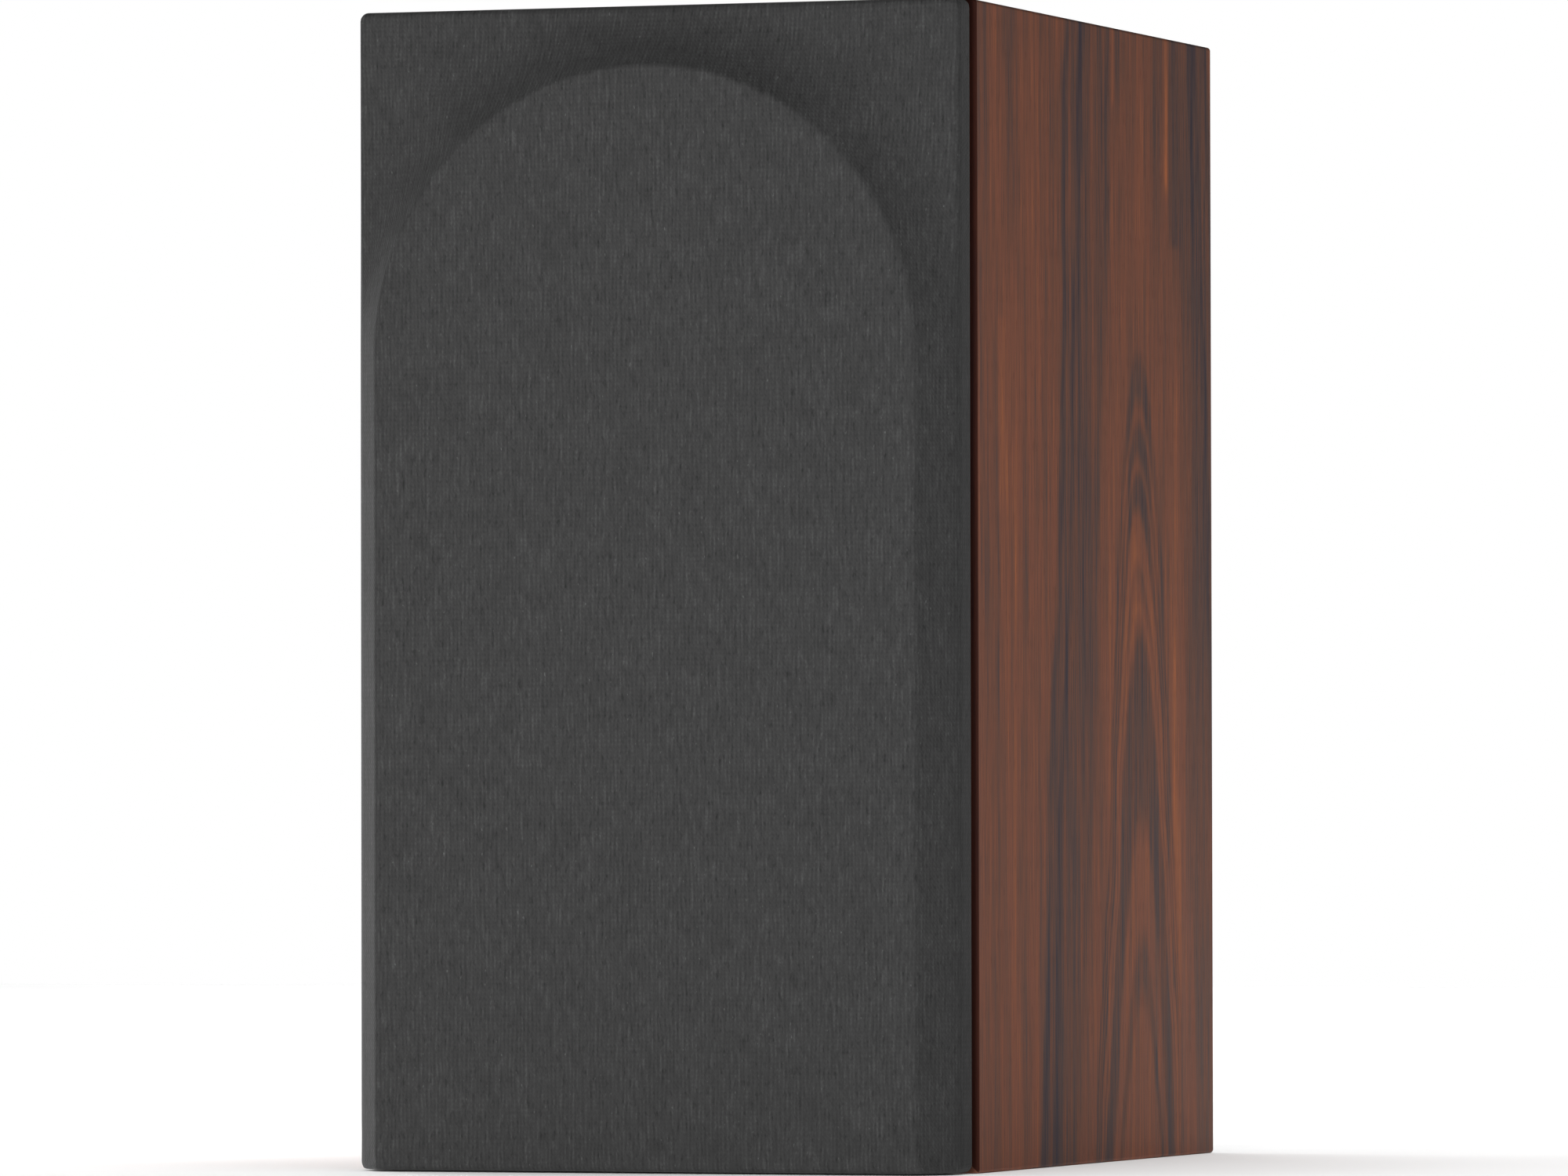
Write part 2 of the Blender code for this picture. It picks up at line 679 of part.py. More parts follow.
def tweeter_dome():
    """Soft dome with its voice coil former as a skirt."""
    radius = 0.0125
    rise = 0.0043
    base_depth = 0.0045
    skirt_depth = 0.0100
    thickness = 0.0004
    outer = dome_profile(radius, rise, base_depth)
    skirt = [(radius, skirt_depth), (radius - thickness, skirt_depth)]
    inner = [(reach * (1 - thickness / radius), depth + thickness) for reach, depth in reversed(outer)]
    turned("tweeter_dome", outer + skirt + inner, "dome_silk", (0, BAFFLE_Y, TWEETER_Z), MEDIUM_TURN)


def tweeter_surround():
    """Narrow cloth roll between the dome and the faceplate."""
    roll_middle = 0.0145
    roll_radius = 0.0017
    depth = 0.0041
    thickness = 0.0004
    front = half_roll(roll_middle, roll_radius, depth, 0, 180, 4)
    back = half_roll(roll_middle, roll_radius - thickness, depth + thickness, 180, 0, 4)
    turned("tweeter_surround", front + back, "dome_silk", (0, BAFFLE_Y, TWEETER_Z), MEDIUM_TURN)


def tweeter_motor():
    """Ferrite ring on the back of the faceplate, and a yoke with its pole inside the voice coil."""
    place = (0, BAFFLE_Y, TWEETER_Z)
    outer = TWEETER_MAGNET_RADIUS
    ferrite = [(0.0131, 0.0048), (outer, 0.0048), (outer, 0.0168), (0.0131, 0.0168)]
    yoke = [(0, 0.0062), (0.0114, 0.0062), (0.0114, 0.0171), (outer, 0.0171), (outer, 0.0211), (0, 0.0211)]
    turned("tweeter_magnet", ferrite, "ferrite", place, MEDIUM_TURN)
    turned("tweeter_yoke", yoke, "plated_steel", place, MEDIUM_TURN)


# ---------------------------------------------------------------- crossover and leads

BOARD_LOW = (-0.045, 0.000, PANEL + GAP)
BOARD_HIGH = (0.045, 0.080, PANEL + GAP + 0.0016)
BOARD_TOP_Z = BOARD_HIGH[2] + GAP


def crossover():
    """Circuit board on the bottom panel with two air-cored coils and a film capacitor."""
    block("crossover_board", BOARD_LOW, BOARD_HIGH, "circuit_board")
    for name, x, y, inner, outer, height in (
        ("bass_inductor", -0.023, 0.022, 0.008, 0.018, 0.016),
        ("treble_inductor", 0.026, 0.018, 0.006, 0.013, 0.012),
    ):
        profile = [(inner, 0), (outer, 0), (outer, height), (inner, height)]
        turned(name, profile, "copper_coil", (x, y, BOARD_TOP_Z), ROD_TURN, upright=True)
    radius = 0.009
    half_length = 0.018
    bm = bmesh.new()
    revolve(bm, plain_hole(radius, -half_length, half_length), ROD_TURN)
    bmesh.ops.rotate(bm, verts=bm.verts, cent=(0, 0, 0), matrix=Matrix.Rotation(math.pi / 2, 3, "Z"))
    place = (0.012, 0.058, BOARD_TOP_Z + radius)
    add_piece("crossover_capacitor", bm, "capacitor_film", place, smooth=True)


def smooth_route(points, steps):
    """Points along a Catmull-Rom curve through points."""
    padded = [2 * points[0] - points[1], *points, 2 * points[-1] - points[-2]]
    route = []
    for a, b, c, d in zip(padded, padded[1:], padded[2:], padded[3:]):
        slope = c - a
        bend = 2 * a - 5 * b + 4 * c - d
        twist = 3 * b - a - 3 * c + d
        for i in range(steps):
            t = i / steps
            route.append(b + 0.5 * (slope * t + bend * t**2 + twist * t**3))
    route.append(points[-1])
    return route


def lead(name, points, radius=0.0020):
    """An insulated twin lead inside the cabinet, from end to end."""
    curve = bpy.data.curves.new(name, "CURVE")
    curve.dimensions = "3D"
    curve.bevel_depth = radius
    curve.bevel_resolution = 1
    curve.use_fill_caps = True
    route = smooth_route([Vector(point) for point in points], 3)
    spline = curve.splines.new("POLY")
    spline.points.add(len(route) - 1)
    for knot, point in zip(spline.points, route):
        knot.co = (*point, 1)
    curve.materials.append(material("lead_sleeve"))
    bpy.context.collection.objects.link(bpy.data.objects.new(name, curve))


def leads():
    """The three runs from terminals to board, board to woofer, and board to tweeter."""
    clear_of_board = BOARD_TOP_Z + 0.0005
    lead(
        "input_lead",
        [
            (0, CUP_FLOOR_Y - 0.0026, CUP_Z),
            (0, CUP_FLOOR_Y - 0.0120, CUP_Z - 0.001),
            (-0.006, 0.0880, 0.0620),
            (-0.028, 0.0680, 0.0300),
            (-0.030, 0.0640, clear_of_board),
        ],
    )
    lead(
        "woofer_lead",
        [
            (-0.038, 0.0520, clear_of_board),
            (-0.038, 0.0480, 0.0320),
            (-0.030, 0.0100, 0.0620),
            (-0.012, -0.0380, 0.0900),
            (-0.002, -0.0680, 0.1080),
            (0.000, -0.0700, 0.1200),
        ],
    )
    lead(
        "tweeter_lead",
        [
            (0.040, 0.0500, clear_of_board),
            (0.040, 0.0480, 0.0350),
            (0.056, 0.0400, 0.0900),
            (0.060, 0.0150, 0.1700),
            (0.040, -0.0200, 0.2350),
            (0.010, -0.0700, 0.2500),
            (0.000, -0.0920, 0.2560),
        ],
    )


# ---------------------------------------------------------------- grille


def spread(start, end, steps):
    """Evenly spaced values from start to just before end."""
    return [start + (end - start) * i / steps for i in range(steps)]


def rim_hit(angle, half, top, corner):
    """Where a ray from the arch's centre meets the grille's round-cornered outline."""
    along, up = abs(math.cos(angle)), math.sin(angle)
    reach = min(half / max(along, 1e-9), (top - ARCH_Z) / max(up, 1e-9))
    if reach * along > half - corner and reach * up > top - corner - ARCH_Z:
        centre = Vector((half - corner, top - corner - ARCH_Z))
        ray = Vector((along, up))
        across = centre.dot(ray)
        reach = across + math.sqrt(across**2 - centre.length_squared + corner**2)
    return Vector((math.copysign(reach * along, math.cos(angle)), ARCH_Z + reach * up))


def grille_outline(inset):
    """Matching points of the flat front's ridge and of the outer rim, as (ridge, rim, slopes) triples.

    Slopes is false along the bottom, where the flat front runs down to the rim.
    """
    half = WIDTH / 2 - GRILLE_INSET - inset
    top = HEIGHT - GRILLE_INSET - inset
    bottom = GRILLE_INSET + inset
    ridge_half = ARCH_RADIUS - inset
    corner = GRILLE_CORNER
    into_corner = math.atan2(top - corner - ARCH_Z, half)
    out_of_corner = math.atan2(top - ARCH_Z, half - corner)
    quarter = spread(0, into_corner, 5)
    quarter += spread(into_corner, out_of_corner, 2)
    quarter += spread(out_of_corner, math.pi / 2, 5)
    angles = quarter + [math.pi / 2] + [math.pi - angle for angle in reversed(quarter)]
    points = []
    for angle in angles:
        ridge = Vector((ridge_half * math.cos(angle), ARCH_Z + ridge_half * math.sin(angle)))
        points.append((ridge, rim_hit(angle, half, top, corner), True))
    fold_z = bottom + FOLD
    heights = spread(ARCH_Z, fold_z, 4)[1:] + [fold_z]
    left = [(Vector((-ridge_half, z)), Vector((-half, z)), True) for z in heights]
    left.append((Vector((-ridge_half, fold_z)), Vector((-half, bottom)), True))
    floor = []
    for x in spread(-ridge_half, ridge_half, 4) + [ridge_half]:
        floor.append((Vector((x, fold_z)), Vector((x, bottom)), False))
    right = []
    for ridge, rim, slopes in reversed(left):
        right.append((Vector((-ridge.x, ridge.y)), Vector((-rim.x, rim.y)), slopes))
    return points + left + floor + right


def grille_skin(inset):
    """Loops of the grille's surface moved inward by inset, from the ridge over the rim to the back."""
    outline = grille_outline(inset)
    front_y = FRONT_Y + inset
    rim_y = front_y + GRILLE_RISE
    loops = []
    for step in range(SLOPE_STEPS + 1):
        share = step / SLOPE_STEPS
        loop = []
        for ridge, rim, slopes in outline:
            place = ridge.lerp(rim, share)
            hollow = 1 + HOLLOW_GROWTH * max(0.0, (rim - ridge).length / GRILLE_CHAMFER - 1)
            sunk = 1 - (1 - share) ** min(hollow, MAX_HOLLOW)
            y = front_y + (rim_y - front_y) * sunk * slopes
            loop.append(Vector((place.x, y, place.y)))
        loops.append(loop)
    loops.append([Vector((rim.x, GRILLE_BACK_Y, rim.y)) for _, rim, _ in outline])
    return loops


def grille_cloth():
    """The stretched cloth as one closed skin over the frame's front and sides."""
    outer = grille_skin(0.0)
    inner = grille_skin(CLOTH)
    bm = bmesh.new()
    loft(bm, [*inner, *reversed(outer)])
    return add_piece("grille_cloth", bm, "grille_cloth", smooth=True)


def grille_frame():
    """Board frame under the cloth, with an arched opening for the drive units."""
    skin = grille_skin(CLOTH + GAP)
    ridge = skin[0]
    narrower = 1 - FRAME_STILE / ARCH_RADIUS
    opening = []
    for point in ridge:
        z = ARCH_Z + (point.z - ARCH_Z) * narrower
        opening.append(Vector((point.x * narrower, point.y, max(z, FRAME_BOTTOM_BAR))))
    behind = [Vector((point.x, GRILLE_BACK_Y, point.z)) for point in opening]
    bm = bmesh.new()
    loft(bm, [opening, *skin, behind], closed=True)
    frame = add_piece("grille_frame", bm, "grille_board", smooth=True)
    peg_hole = plain_hole(PEG_RADIUS + GAP, -PEG_HOLE_DEPTH, 0.005)
    cut_turned(frame, "peg_holes", peg_hole, peg_places(GRILLE_BACK_Y))


def grille_fixings():
    """Four pegs in the frame's back, each in a plastic socket in the baffle."""
    peg = [
        (0, -0.0080),
        (PEG_RADIUS, -0.0080),
        (PEG_RADIUS, 0.0075),
        (0.0018, 0.0100),
        (0, 0.0100),
    ]
    bore = PEG_RADIUS + 0.0004
    socket = [
        (0, 0.0115),
        (bore, 0.0115),
        (bore, 0),
        (SOCKET_RIM_RADIUS, 0),
        (SOCKET_RIM_RADIUS, SOCKET_RIM),
        (SOCKET_RADIUS, SOCKET_RIM),
        (SOCKET_RADIUS, 0.0130),
        (0, 0.0130),
    ]
    for number, place in enumerate(peg_places(GRILLE_BACK_Y), 1):
        turned(f"grille_peg_{number}", peg, "black_plastic", place, SMALL_TURN)
    for number, place in enumerate(peg_places(BAFFLE_Y), 1):
        turned(f"grille_socket_{number}", socket, "black_plastic", place, SMALL_TURN)


def main():
    clear_scene()
    cabinet_panels()
    front_baffle()
    rear_panel()
    damping_foam()
    port_tube()
    terminal_cup()
    terminal_screws()
    binding_posts()
    woofer_basket()
    woofer_motor()
    driver_screws("woofer", woofer_screw_places())
    woofer_surround()
    woofer_spider()
    woofer_cone()
    woofer_dust_cap()
    woofer_voice_coil()
    tweeter_faceplate()
    driver_screws("tweeter", tweeter_screw_places())
    tweeter_dome()
    tweeter_surround()
    tweeter_motor()
    crossover()
    leads()
    grille_cloth()
    grille_frame()
    grille_fixings()


main()
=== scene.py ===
"""Looks of the bookshelf speaker: veneered box, stretched cloth grille, drive units and rear fittings.

Metres, +Z up, the front faces -Y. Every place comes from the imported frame. A profile of a turned part is
(radius, depth) points, and depths are measured behind the face that the part sits in.
"""

import json
import math

import bmesh
import bpy
from mathutils import Matrix, Vector

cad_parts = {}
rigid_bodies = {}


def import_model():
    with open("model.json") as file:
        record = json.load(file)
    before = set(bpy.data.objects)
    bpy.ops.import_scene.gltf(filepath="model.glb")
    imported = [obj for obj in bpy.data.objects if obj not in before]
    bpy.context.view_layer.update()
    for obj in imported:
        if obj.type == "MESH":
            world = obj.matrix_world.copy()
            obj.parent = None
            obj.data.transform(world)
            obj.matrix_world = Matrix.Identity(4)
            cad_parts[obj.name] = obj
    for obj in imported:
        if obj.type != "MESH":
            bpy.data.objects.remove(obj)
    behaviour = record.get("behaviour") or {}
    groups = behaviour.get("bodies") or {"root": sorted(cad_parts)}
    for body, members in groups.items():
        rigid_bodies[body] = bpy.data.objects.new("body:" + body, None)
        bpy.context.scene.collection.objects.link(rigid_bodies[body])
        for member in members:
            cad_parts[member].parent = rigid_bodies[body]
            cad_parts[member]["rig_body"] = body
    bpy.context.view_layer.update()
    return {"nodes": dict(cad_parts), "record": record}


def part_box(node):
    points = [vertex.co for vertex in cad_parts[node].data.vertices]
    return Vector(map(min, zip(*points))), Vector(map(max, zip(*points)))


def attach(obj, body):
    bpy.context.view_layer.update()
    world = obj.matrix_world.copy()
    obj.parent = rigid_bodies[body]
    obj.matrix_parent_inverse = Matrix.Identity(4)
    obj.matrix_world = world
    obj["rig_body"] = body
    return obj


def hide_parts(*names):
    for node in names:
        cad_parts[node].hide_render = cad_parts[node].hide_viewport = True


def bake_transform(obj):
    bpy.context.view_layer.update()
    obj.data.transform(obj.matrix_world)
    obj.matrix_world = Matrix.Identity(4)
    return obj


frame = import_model()

# ---------------- places, read from the frame


def on_face(node, y):
    """The middle of a node, moved to the plane y, which turned parts measure their depths from."""
    low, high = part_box(node)
    return Vector(((low.x + high.x) / 2, y, (low.z + high.z) / 2))


def four(stem, y):
    """The middles of the four nodes that are numbered after stem, moved to the plane y."""
    return [on_face(f"{stem}_{number}", y) for number in (1, 2, 3, 4)]


SIDE_LOW, SIDE_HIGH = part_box("side_panel_right")
HALF_WIDTH = SIDE_HIGH.x
HEIGHT = SIDE_HIGH.z
MIDDLE = Vector((0, 0, HEIGHT / 2))
PANEL = SIDE_HIGH.x - SIDE_LOW.x
LIP_Y = SIDE_LOW.y
BACK_Y = SIDE_HIGH.y
GRILLE_LOW, GRILLE_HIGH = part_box("grille_cloth")
BAFFLE_Y, BAFFLE_BACK_Y = (corner.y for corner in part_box("front_baffle"))
REAR_LOW, REAR_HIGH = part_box("rear_panel")
WOOFER = on_face("woofer_basket", BAFFLE_Y)
TWEETER = on_face("tweeter_faceplate", BAFFLE_Y)
PORT = on_face("port_tube", REAR_HIGH.y)
CUP_FACE_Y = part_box("terminal_cup")[1].y
CUP = on_face("terminal_cup", CUP_FACE_Y)
CUP_DEPTH = 0.0240
CUP_FLOOR_Y = CUP_FACE_Y - CUP_DEPTH
GAP = 0.0003
SLOTS = {part["node"]: part["material_slot"] for part in frame["record"]["subparts"]}

# ---------------- mesh tools

CREASE = 32
FULL_TURN = 2 * math.pi
ORIGIN = Vector((0, 0, 0))


def mm(*points):
    """Points that are written in millimetres, as metres."""
    return [tuple(value / 1000 for value in point) for point in points]


def spread(start, end, steps):
    """Evenly spaced values from start to just before end."""
    return [start + (end - start) * i / steps for i in range(steps)]


def shares(steps):
    """Evenly spaced values from 0 to 1, both included."""
    return [i / steps for i in range(steps + 1)]


def eased(radius, steps):
    """A quarter round as (inset, depth) points, from (radius, 0) to (0, radius)."""
    angles = [math.pi / 2 * share for share in shares(steps)]
    return [(radius * (1 - math.sin(a)), radius * (1 - math.cos(a))) for a in angles]


def placed(name, data):
    made = bpy.data.objects.new(name, data)
    bpy.context.collection.objects.link(made)
    return made


def mesh_from(bm, name):
    mesh = bpy.data.meshes.new(name)
    bm.to_mesh(mesh)
    bm.free()
    return mesh


def smooth(mesh, crease=CREASE):
    mesh.shade_smooth()
    mesh.set_sharp_from_angle(angle=math.radians(crease))


def piece_from(bm, name, body, slot, stands_for=(), crease=CREASE):
    """Turn bm into a piece that rides on body, wears the slot's finish and stands for CAD nodes."""
    bmesh.ops.remove_doubles(bm, verts=bm.verts, dist=1e-7)
    bmesh.ops.recalc_face_normals(bm, faces=bm.faces)
    piece = placed(name, mesh_from(bm, name))
    smooth(piece.data, crease)
    piece.data.materials.append(finishes[slot])
    if body:
        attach(piece, body)
    if stands_for:
        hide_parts(*stands_for)
    return piece


def detailed(bm, node, crease=CREASE):
    """A finely made piece in place of one CAD node, on the node's body and with its finish."""
    body = frame["nodes"][node]["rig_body"]
    return piece_from(bm, f"{node}_detailed", body, SLOTS[node], [node], crease)


def loft(bm, loops, closed=False, capped=True):
    """Join loops of equally many points with faces."""
    rings = [[bm.verts.new(point) for point in loop] for loop in loops]
    pairs = list(zip(rings, rings[1:]))
    if closed:
        pairs.append((rings[-1], rings[0]))
    for first, second in pairs:
        for i in range(len(first)):
            j = (i + 1) % len(first)
            bm.faces.new((first[i], first[j], second[j], second[i]))
    if capped and not closed:
        bm.faces.new(rings[0])
        bm.faces.new(rings[-1])
    return rings


def revolve(bm, profile, facets, centre, turn=(0.0, FULL_TURN), flutes=0, flute_depth=0.0):
    """Turn a profile about the Y axis through centre, all the way round or over one sector.

    A profile that starts on the axis makes a solid piece, and any other closes on itself as a ring.
    Flutes are grooves along the axis, where the radius is over nine tenths of the widest.
    """
    start, end = turn
    whole = end - start > FULL_TURN - 1e-6
    widest = max(radius for radius, _ in profile)
    stations = facets if whole else facets + 1
    rings = []
    for radius, depth in profile:
        if radius < 1e-7:
            rings.append([bm.verts.new(centre + Vector((0, depth, 0)))])
            continue
        groove = flute_depth if radius > 0.9 * widest else 0.0
        ring = []
        for i in range(stations):
            angle = start + (end - start) * i / facets
            reach = radius - groove * (0.5 - 0.5 * math.cos(flutes * angle)) ** 2
            offset = Vector((reach * math.cos(angle), depth, reach * math.sin(angle)))
            ring.append(bm.verts.new(centre + offset))
        rings.append(ring)
    pairs = list(zip(rings, rings[1:]))
    if len(rings[0]) > 1:
        pairs.append((rings[-1], rings[0]))
    for first, second in pairs:
        for i in range(facets):
            j = (i + 1) % stations
            near = [first[k % len(first)] for k in (i, j)]
            far = [second[k % len(second)] for k in (j, i)]
            bm.faces.new(list(dict.fromkeys(near + far)))
    if not whole:
        bm.faces.new([ring[0] for ring in rings])
        bm.faces.new([ring[-1] for ring in reversed(rings)])


def bend(start, corner, end, steps):
    """Points of a smooth bend from start to end that heads for corner."""
    return [start * (1 - t) ** 2 + corner * (2 * t * (1 - t)) + end * t**2 for t in shares(steps)]


def soften(profile, radius):
    """Round the corners of a profile. One that starts on the axis keeps both its end points."""
    points = [Vector(point) for point in profile]
    ends = () if profile[0][0] > 1e-7 else (0, len(points) - 1)
    softened = []
    for i, point in enumerate(points):
        back = points[i - 1] - point
        ahead = points[(i + 1) % len(points)] - point
        if i in ends or back.angle(-ahead) < math.radians(20):
            softened.append(point)
            continue
        cut = min(radius, 0.45 * back.length, 0.45 * ahead.length)
        softened += bend(point + back.normalized() * cut, point, point + ahead.normalized() * cut, 3)
    return softened


def turned(node, profile, place, facets=128, soft=0.0004, **shape):
    """A turned piece in place of one CAD node."""
    bm = bmesh.new()
    revolve(bm, soften(profile, soft) if soft else profile, facets, place, **shape)
    return detailed(bm, node)


def tube(inner, outer, start, end):
    """Profile of a straight tube, or of a plain hole where inner is 0."""
    return [(inner, start), (outer, start), (outer, end), (inner, end)]


def stepped_hole(seat_radius, seat_depth, bore_radius, length):
    """Profile of a hole with a shallow wide seat in front of its bore."""
    start = -0.005
    seat = [(0, start), (seat_radius, start), (seat_radius, seat_depth)]
    return [*seat, (bore_radius, seat_depth), (bore_radius, length), (0, length)]


def rounded_rectangle(centre, half_width, half_height, radius, y, steps=8):
    """Points of an upright rectangle with round corners."""
    points = []
    for quarter, (side, up) in enumerate(((1, -1), (1, 1), (-1, 1), (-1, -1))):
        x = centre.x + side * (half_width - radius)
        z = centre.z + up * (half_height - radius)
        for share in shares(steps):
            angle = math.pi / 2 * (quarter - 1 + share)
            points.append(Vector((x + radius * math.cos(angle), y, z + radius * math.sin(angle))))
    return points


def outlines(centre, half_width, half_height, corner, section, least=0.0003):
    """Rounded rectangles inside half_width and half_height, one for each (inset, y) of a section."""
    loops = []
    for inset, y in section:
        size = (half_width - inset, half_height - inset, max(corner - inset, least))
        loops.append(rounded_rectangle(centre, *size, y))
    return loops


def carve(piece, bm):
    """Cut the closed shapes in bm out of piece, for good."""
    bmesh.ops.recalc_face_normals(bm, faces=bm.faces)
    cutter = placed("cutter", mesh_from(bm, "cutter"))
    cut = piece.modifiers.new("cut", "BOOLEAN")
    cut.operation = "DIFFERENCE"
    cut.solver = "EXACT"
    cut.object = cutter
    bpy.context.view_layer.update()
    result = bpy.data.meshes.new_from_object(piece.evaluated_get(bpy.context.evaluated_depsgraph_get()))
    closed = bmesh.new()
    closed.from_mesh(result)
    bmesh.ops.remove_doubles(closed, verts=closed.verts, dist=1e-6)
    bmesh.ops.dissolve_degenerate(closed, edges=closed.edges, dist=1e-6)
    bmesh.ops.holes_fill(closed, edges=[edge for edge in closed.edges if edge.is_boundary])
    bmesh.ops.recalc_face_normals(closed, faces=closed.faces)
    closed.to_mesh(result)
    closed.free()
    piece.modifiers.clear()
    piece.data = result
    smooth(result)
    bpy.data.objects.remove(cutter)


def carve_turned(piece, profile, places, facets):
    bm = bmesh.new()
    for place in places:
        revolve(bm, profile, facets, place)
    carve(piece, bm)


# ---------------- material tools


def srgb(colour):
    """A display colour, 0 to 255, as the linear colour that a shader takes."""
    display = [channel / 255 for channel in colour]
    linear = [d / 12.92 if d <= 0.04045 else ((d + 0.055) / 1.055) ** 2.4 for d in display]
    return (*linear, 1.0)


class Finish:
    """A Principled material, with its nodes written one call at a time."""

    def __init__(self, name, **sockets):
        self.material = bpy.data.materials.new(name)
        self.material.use_nodes = True
        self.tree = self.material.node_tree
        self.shader = self.tree.nodes["Principled BSDF"]
        for socket, value in sockets.items():
            self.shader.inputs[socket.replace("_", " ").title().replace("Ior", "IOR")].default_value = value

    def node(self, kind, inputs, output=0, **settings):
        """One output of a new node, whose inputs are plain values or other outputs."""
        made = self.tree.nodes.new(f"ShaderNode{kind}")
        for name, value in settings.items():
            setattr(made, name, value)
        for socket, value in inputs.items():
            if isinstance(value, bpy.types.NodeSocket):
                self.tree.links.new(value, made.inputs[socket])
            elif value is not None:
                made.inputs[socket].default_value = value
        return made.outputs[output]

    def place(self):
        return self.node("TexCoord", {}, "Object")

    def laid(self, name):
        """The piece's own flat coordinates, in metres: across and along."""
        return self.node("UVMap", {}, "UV", uv_map=name)

    def math(self, operation, a, b=None, c=None):
        return self.node("Math", {0: a, 1: b, 2: c}, operation=operation)

    def stretched(self, vector, scale, offset=(0, 0, 0)):
        return self.node("VectorMath", {0: vector, 1: scale, 2: offset}, operation="MULTIPLY_ADD")

    def split(self, vector):
        return self.node("SeparateXYZ", {0: vector}).node.outputs

    def joined(self, x, y):
        return self.node("CombineXYZ", {0: x, 1: y})

    def noise(self, vector, scale, detail=2.0, roughness=0.5, distortion=0.0, offset=(0, 0, 0)):
        """Noise. Its scale is one number, or one for each axis."""
        if isinstance(scale, tuple):
            vector = self.stretched(vector, scale, offset)
            scale = 1.0
        look = {"Scale": scale, "Detail": detail, "Roughness": roughness, "Distortion": distortion}
        return self.node("TexNoise", {"Vector": vector, **look})

    def cells(self, vector, scale):
        return self.node("TexVoronoi", {"Vector": vector, "Scale": scale}, "Distance")

    def sine(self, value, pitch):
        return self.math("SINE", self.math("MULTIPLY", value, FULL_TURN / pitch))

    def raised(self, wave):
        """A wave between -1 and 1, moved to between 0 and 1."""
        return self.math("MULTIPLY_ADD", wave, 0.5, 0.5)

    def levels(self, value, low, high, to_low=0.0, to_high=1.0, kind="SMOOTHSTEP"):
        """Map low..high to to_low..to_high, with a smooth start and end unless kind is LINEAR."""
        ends = {0: value, 1: low, 2: high, 3: to_low, 4: to_high}
        return self.node("MapRange", ends, interpolation_type=kind)

    def ramp(self, value, stops):
        """Display colours at places along value. A stop's colour may also be one linear grey."""
        made = self.node("ValToRGB", {0: value})
        elements = made.node.color_ramp.elements
        while len(elements) < len(stops):
            elements.new(0.5)
        for element, (position, colour) in zip(elements, stops):
            element.position = position
            element.color = srgb(colour) if isinstance(colour, tuple) else (colour, colour, colour, 1.0)
        return made

    def mix(self, share, a, b):
        return self.node("Mix", {0: share, 6: a, 7: b}, 2, data_type="RGBA")

    def add(self, *terms):
        """The sum of (value, weight) terms, counted from each value's middle, 0.5."""
        total = 0.5
        for value, weight in terms:
            total = self.math("MULTIPLY_ADD", self.math("SUBTRACT", value, 0.5), weight, total)
        return total

    def wear(self, colour, roughness, height=None, relief=0.0):
        """Give the material its looks, raised by up to relief, in metres, where height is 1."""
        looks = {"Base Color": colour, "Roughness": roughness}
        if height:
            looks["Normal"] = self.node("Bump", {"Strength": 1.0, "Distance": relief, "Height": height})
        for socket, value in looks.items():
            self.tree.links.new(value, self.shader.inputs[socket])
        return self.material


# ---------------- veneer

GRAIN = "grain"
FIGURE_CENTRE = 0.166  # from the front edge, where the flat-sawn figure has its middle
FIGURE_BLUNTNESS = 0.050
FIGURE_SLOPE = 0.070
FIGURE_LOW = -0.028
FIGURE_MIDDLE = 0.002
FIGURE_HIGH = 0.122

# growth rings as (distance from the figure's tip in millimetres, tone)
INNER_RINGS = [
    *((-27.0, 0.66), (-22.2, 0.66), (-21.4, 0.24), (-20.8, 0.26), (-20.1, 0.68), (-18.3, 0.66)),
    *((-17.4, 0.20), (-15.8, 0.12), (-13.8, 0.20), (-13.0, 0.80), (-12.2, 0.42), (-11.8, 0.82)),
    *((-11.0, 0.70), (-10.6, 0.16), (-10.1, 0.20), (-9.8, 0.62), (-9.4, 0.20), (-9.0, 0.24)),
    *((-8.6, 0.66), (-8.1, 0.22), (-7.5, 0.26), (-7.0, 0.60), (-4.0, 0.66), (0.0, 0.56)),
]
OUTER_RINGS = [
    *((2.0, 0.58), (4.0, 0.50), (6.0, 0.32), (20.0, 0.28), (25.0, 0.18), (27.5, 0.00), (29.2, 0.02)),
    *((31.0, 0.30), (35.0, 0.26), (37.5, 0.00), (39.0, 0.10), (41.5, 0.54), (60.0, 0.62), (90.0, 0.56)),
    (120.0, 0.48),
]
# dark streaks as (across, half width, top, bottom, strength), with top and bottom below the cabinet's top
STREAKS = (
    (0.1945, 0.0020, 0.000, 0.044, 0.42),
    (0.1380, 0.0012, 0.000, 0.022, 0.26),
    (0.2040, 0.0040, 0.070, 0.270, 0.16),
    (0.0240, 0.0030, 0.100, 0.150, 0.12),
)
WOOD_TONES = [
    *((0.05, (71, 64, 72)), (0.28, (99, 79, 74)), (0.48, (126, 86, 71))),
    *((0.66, (142, 91, 73)), (0.82, (158, 100, 73)), (1.00, (187, 112, 74))),
]


def ringed(finish, ring, bands, low, high):
    """The tone of the growth rings that lie between low and high."""
    place = finish.levels(ring, low, high, kind="LINEAR")
    return finish.ramp(place, [((at / 1000 - low) / (high - low), tone) for at, tone in bands])


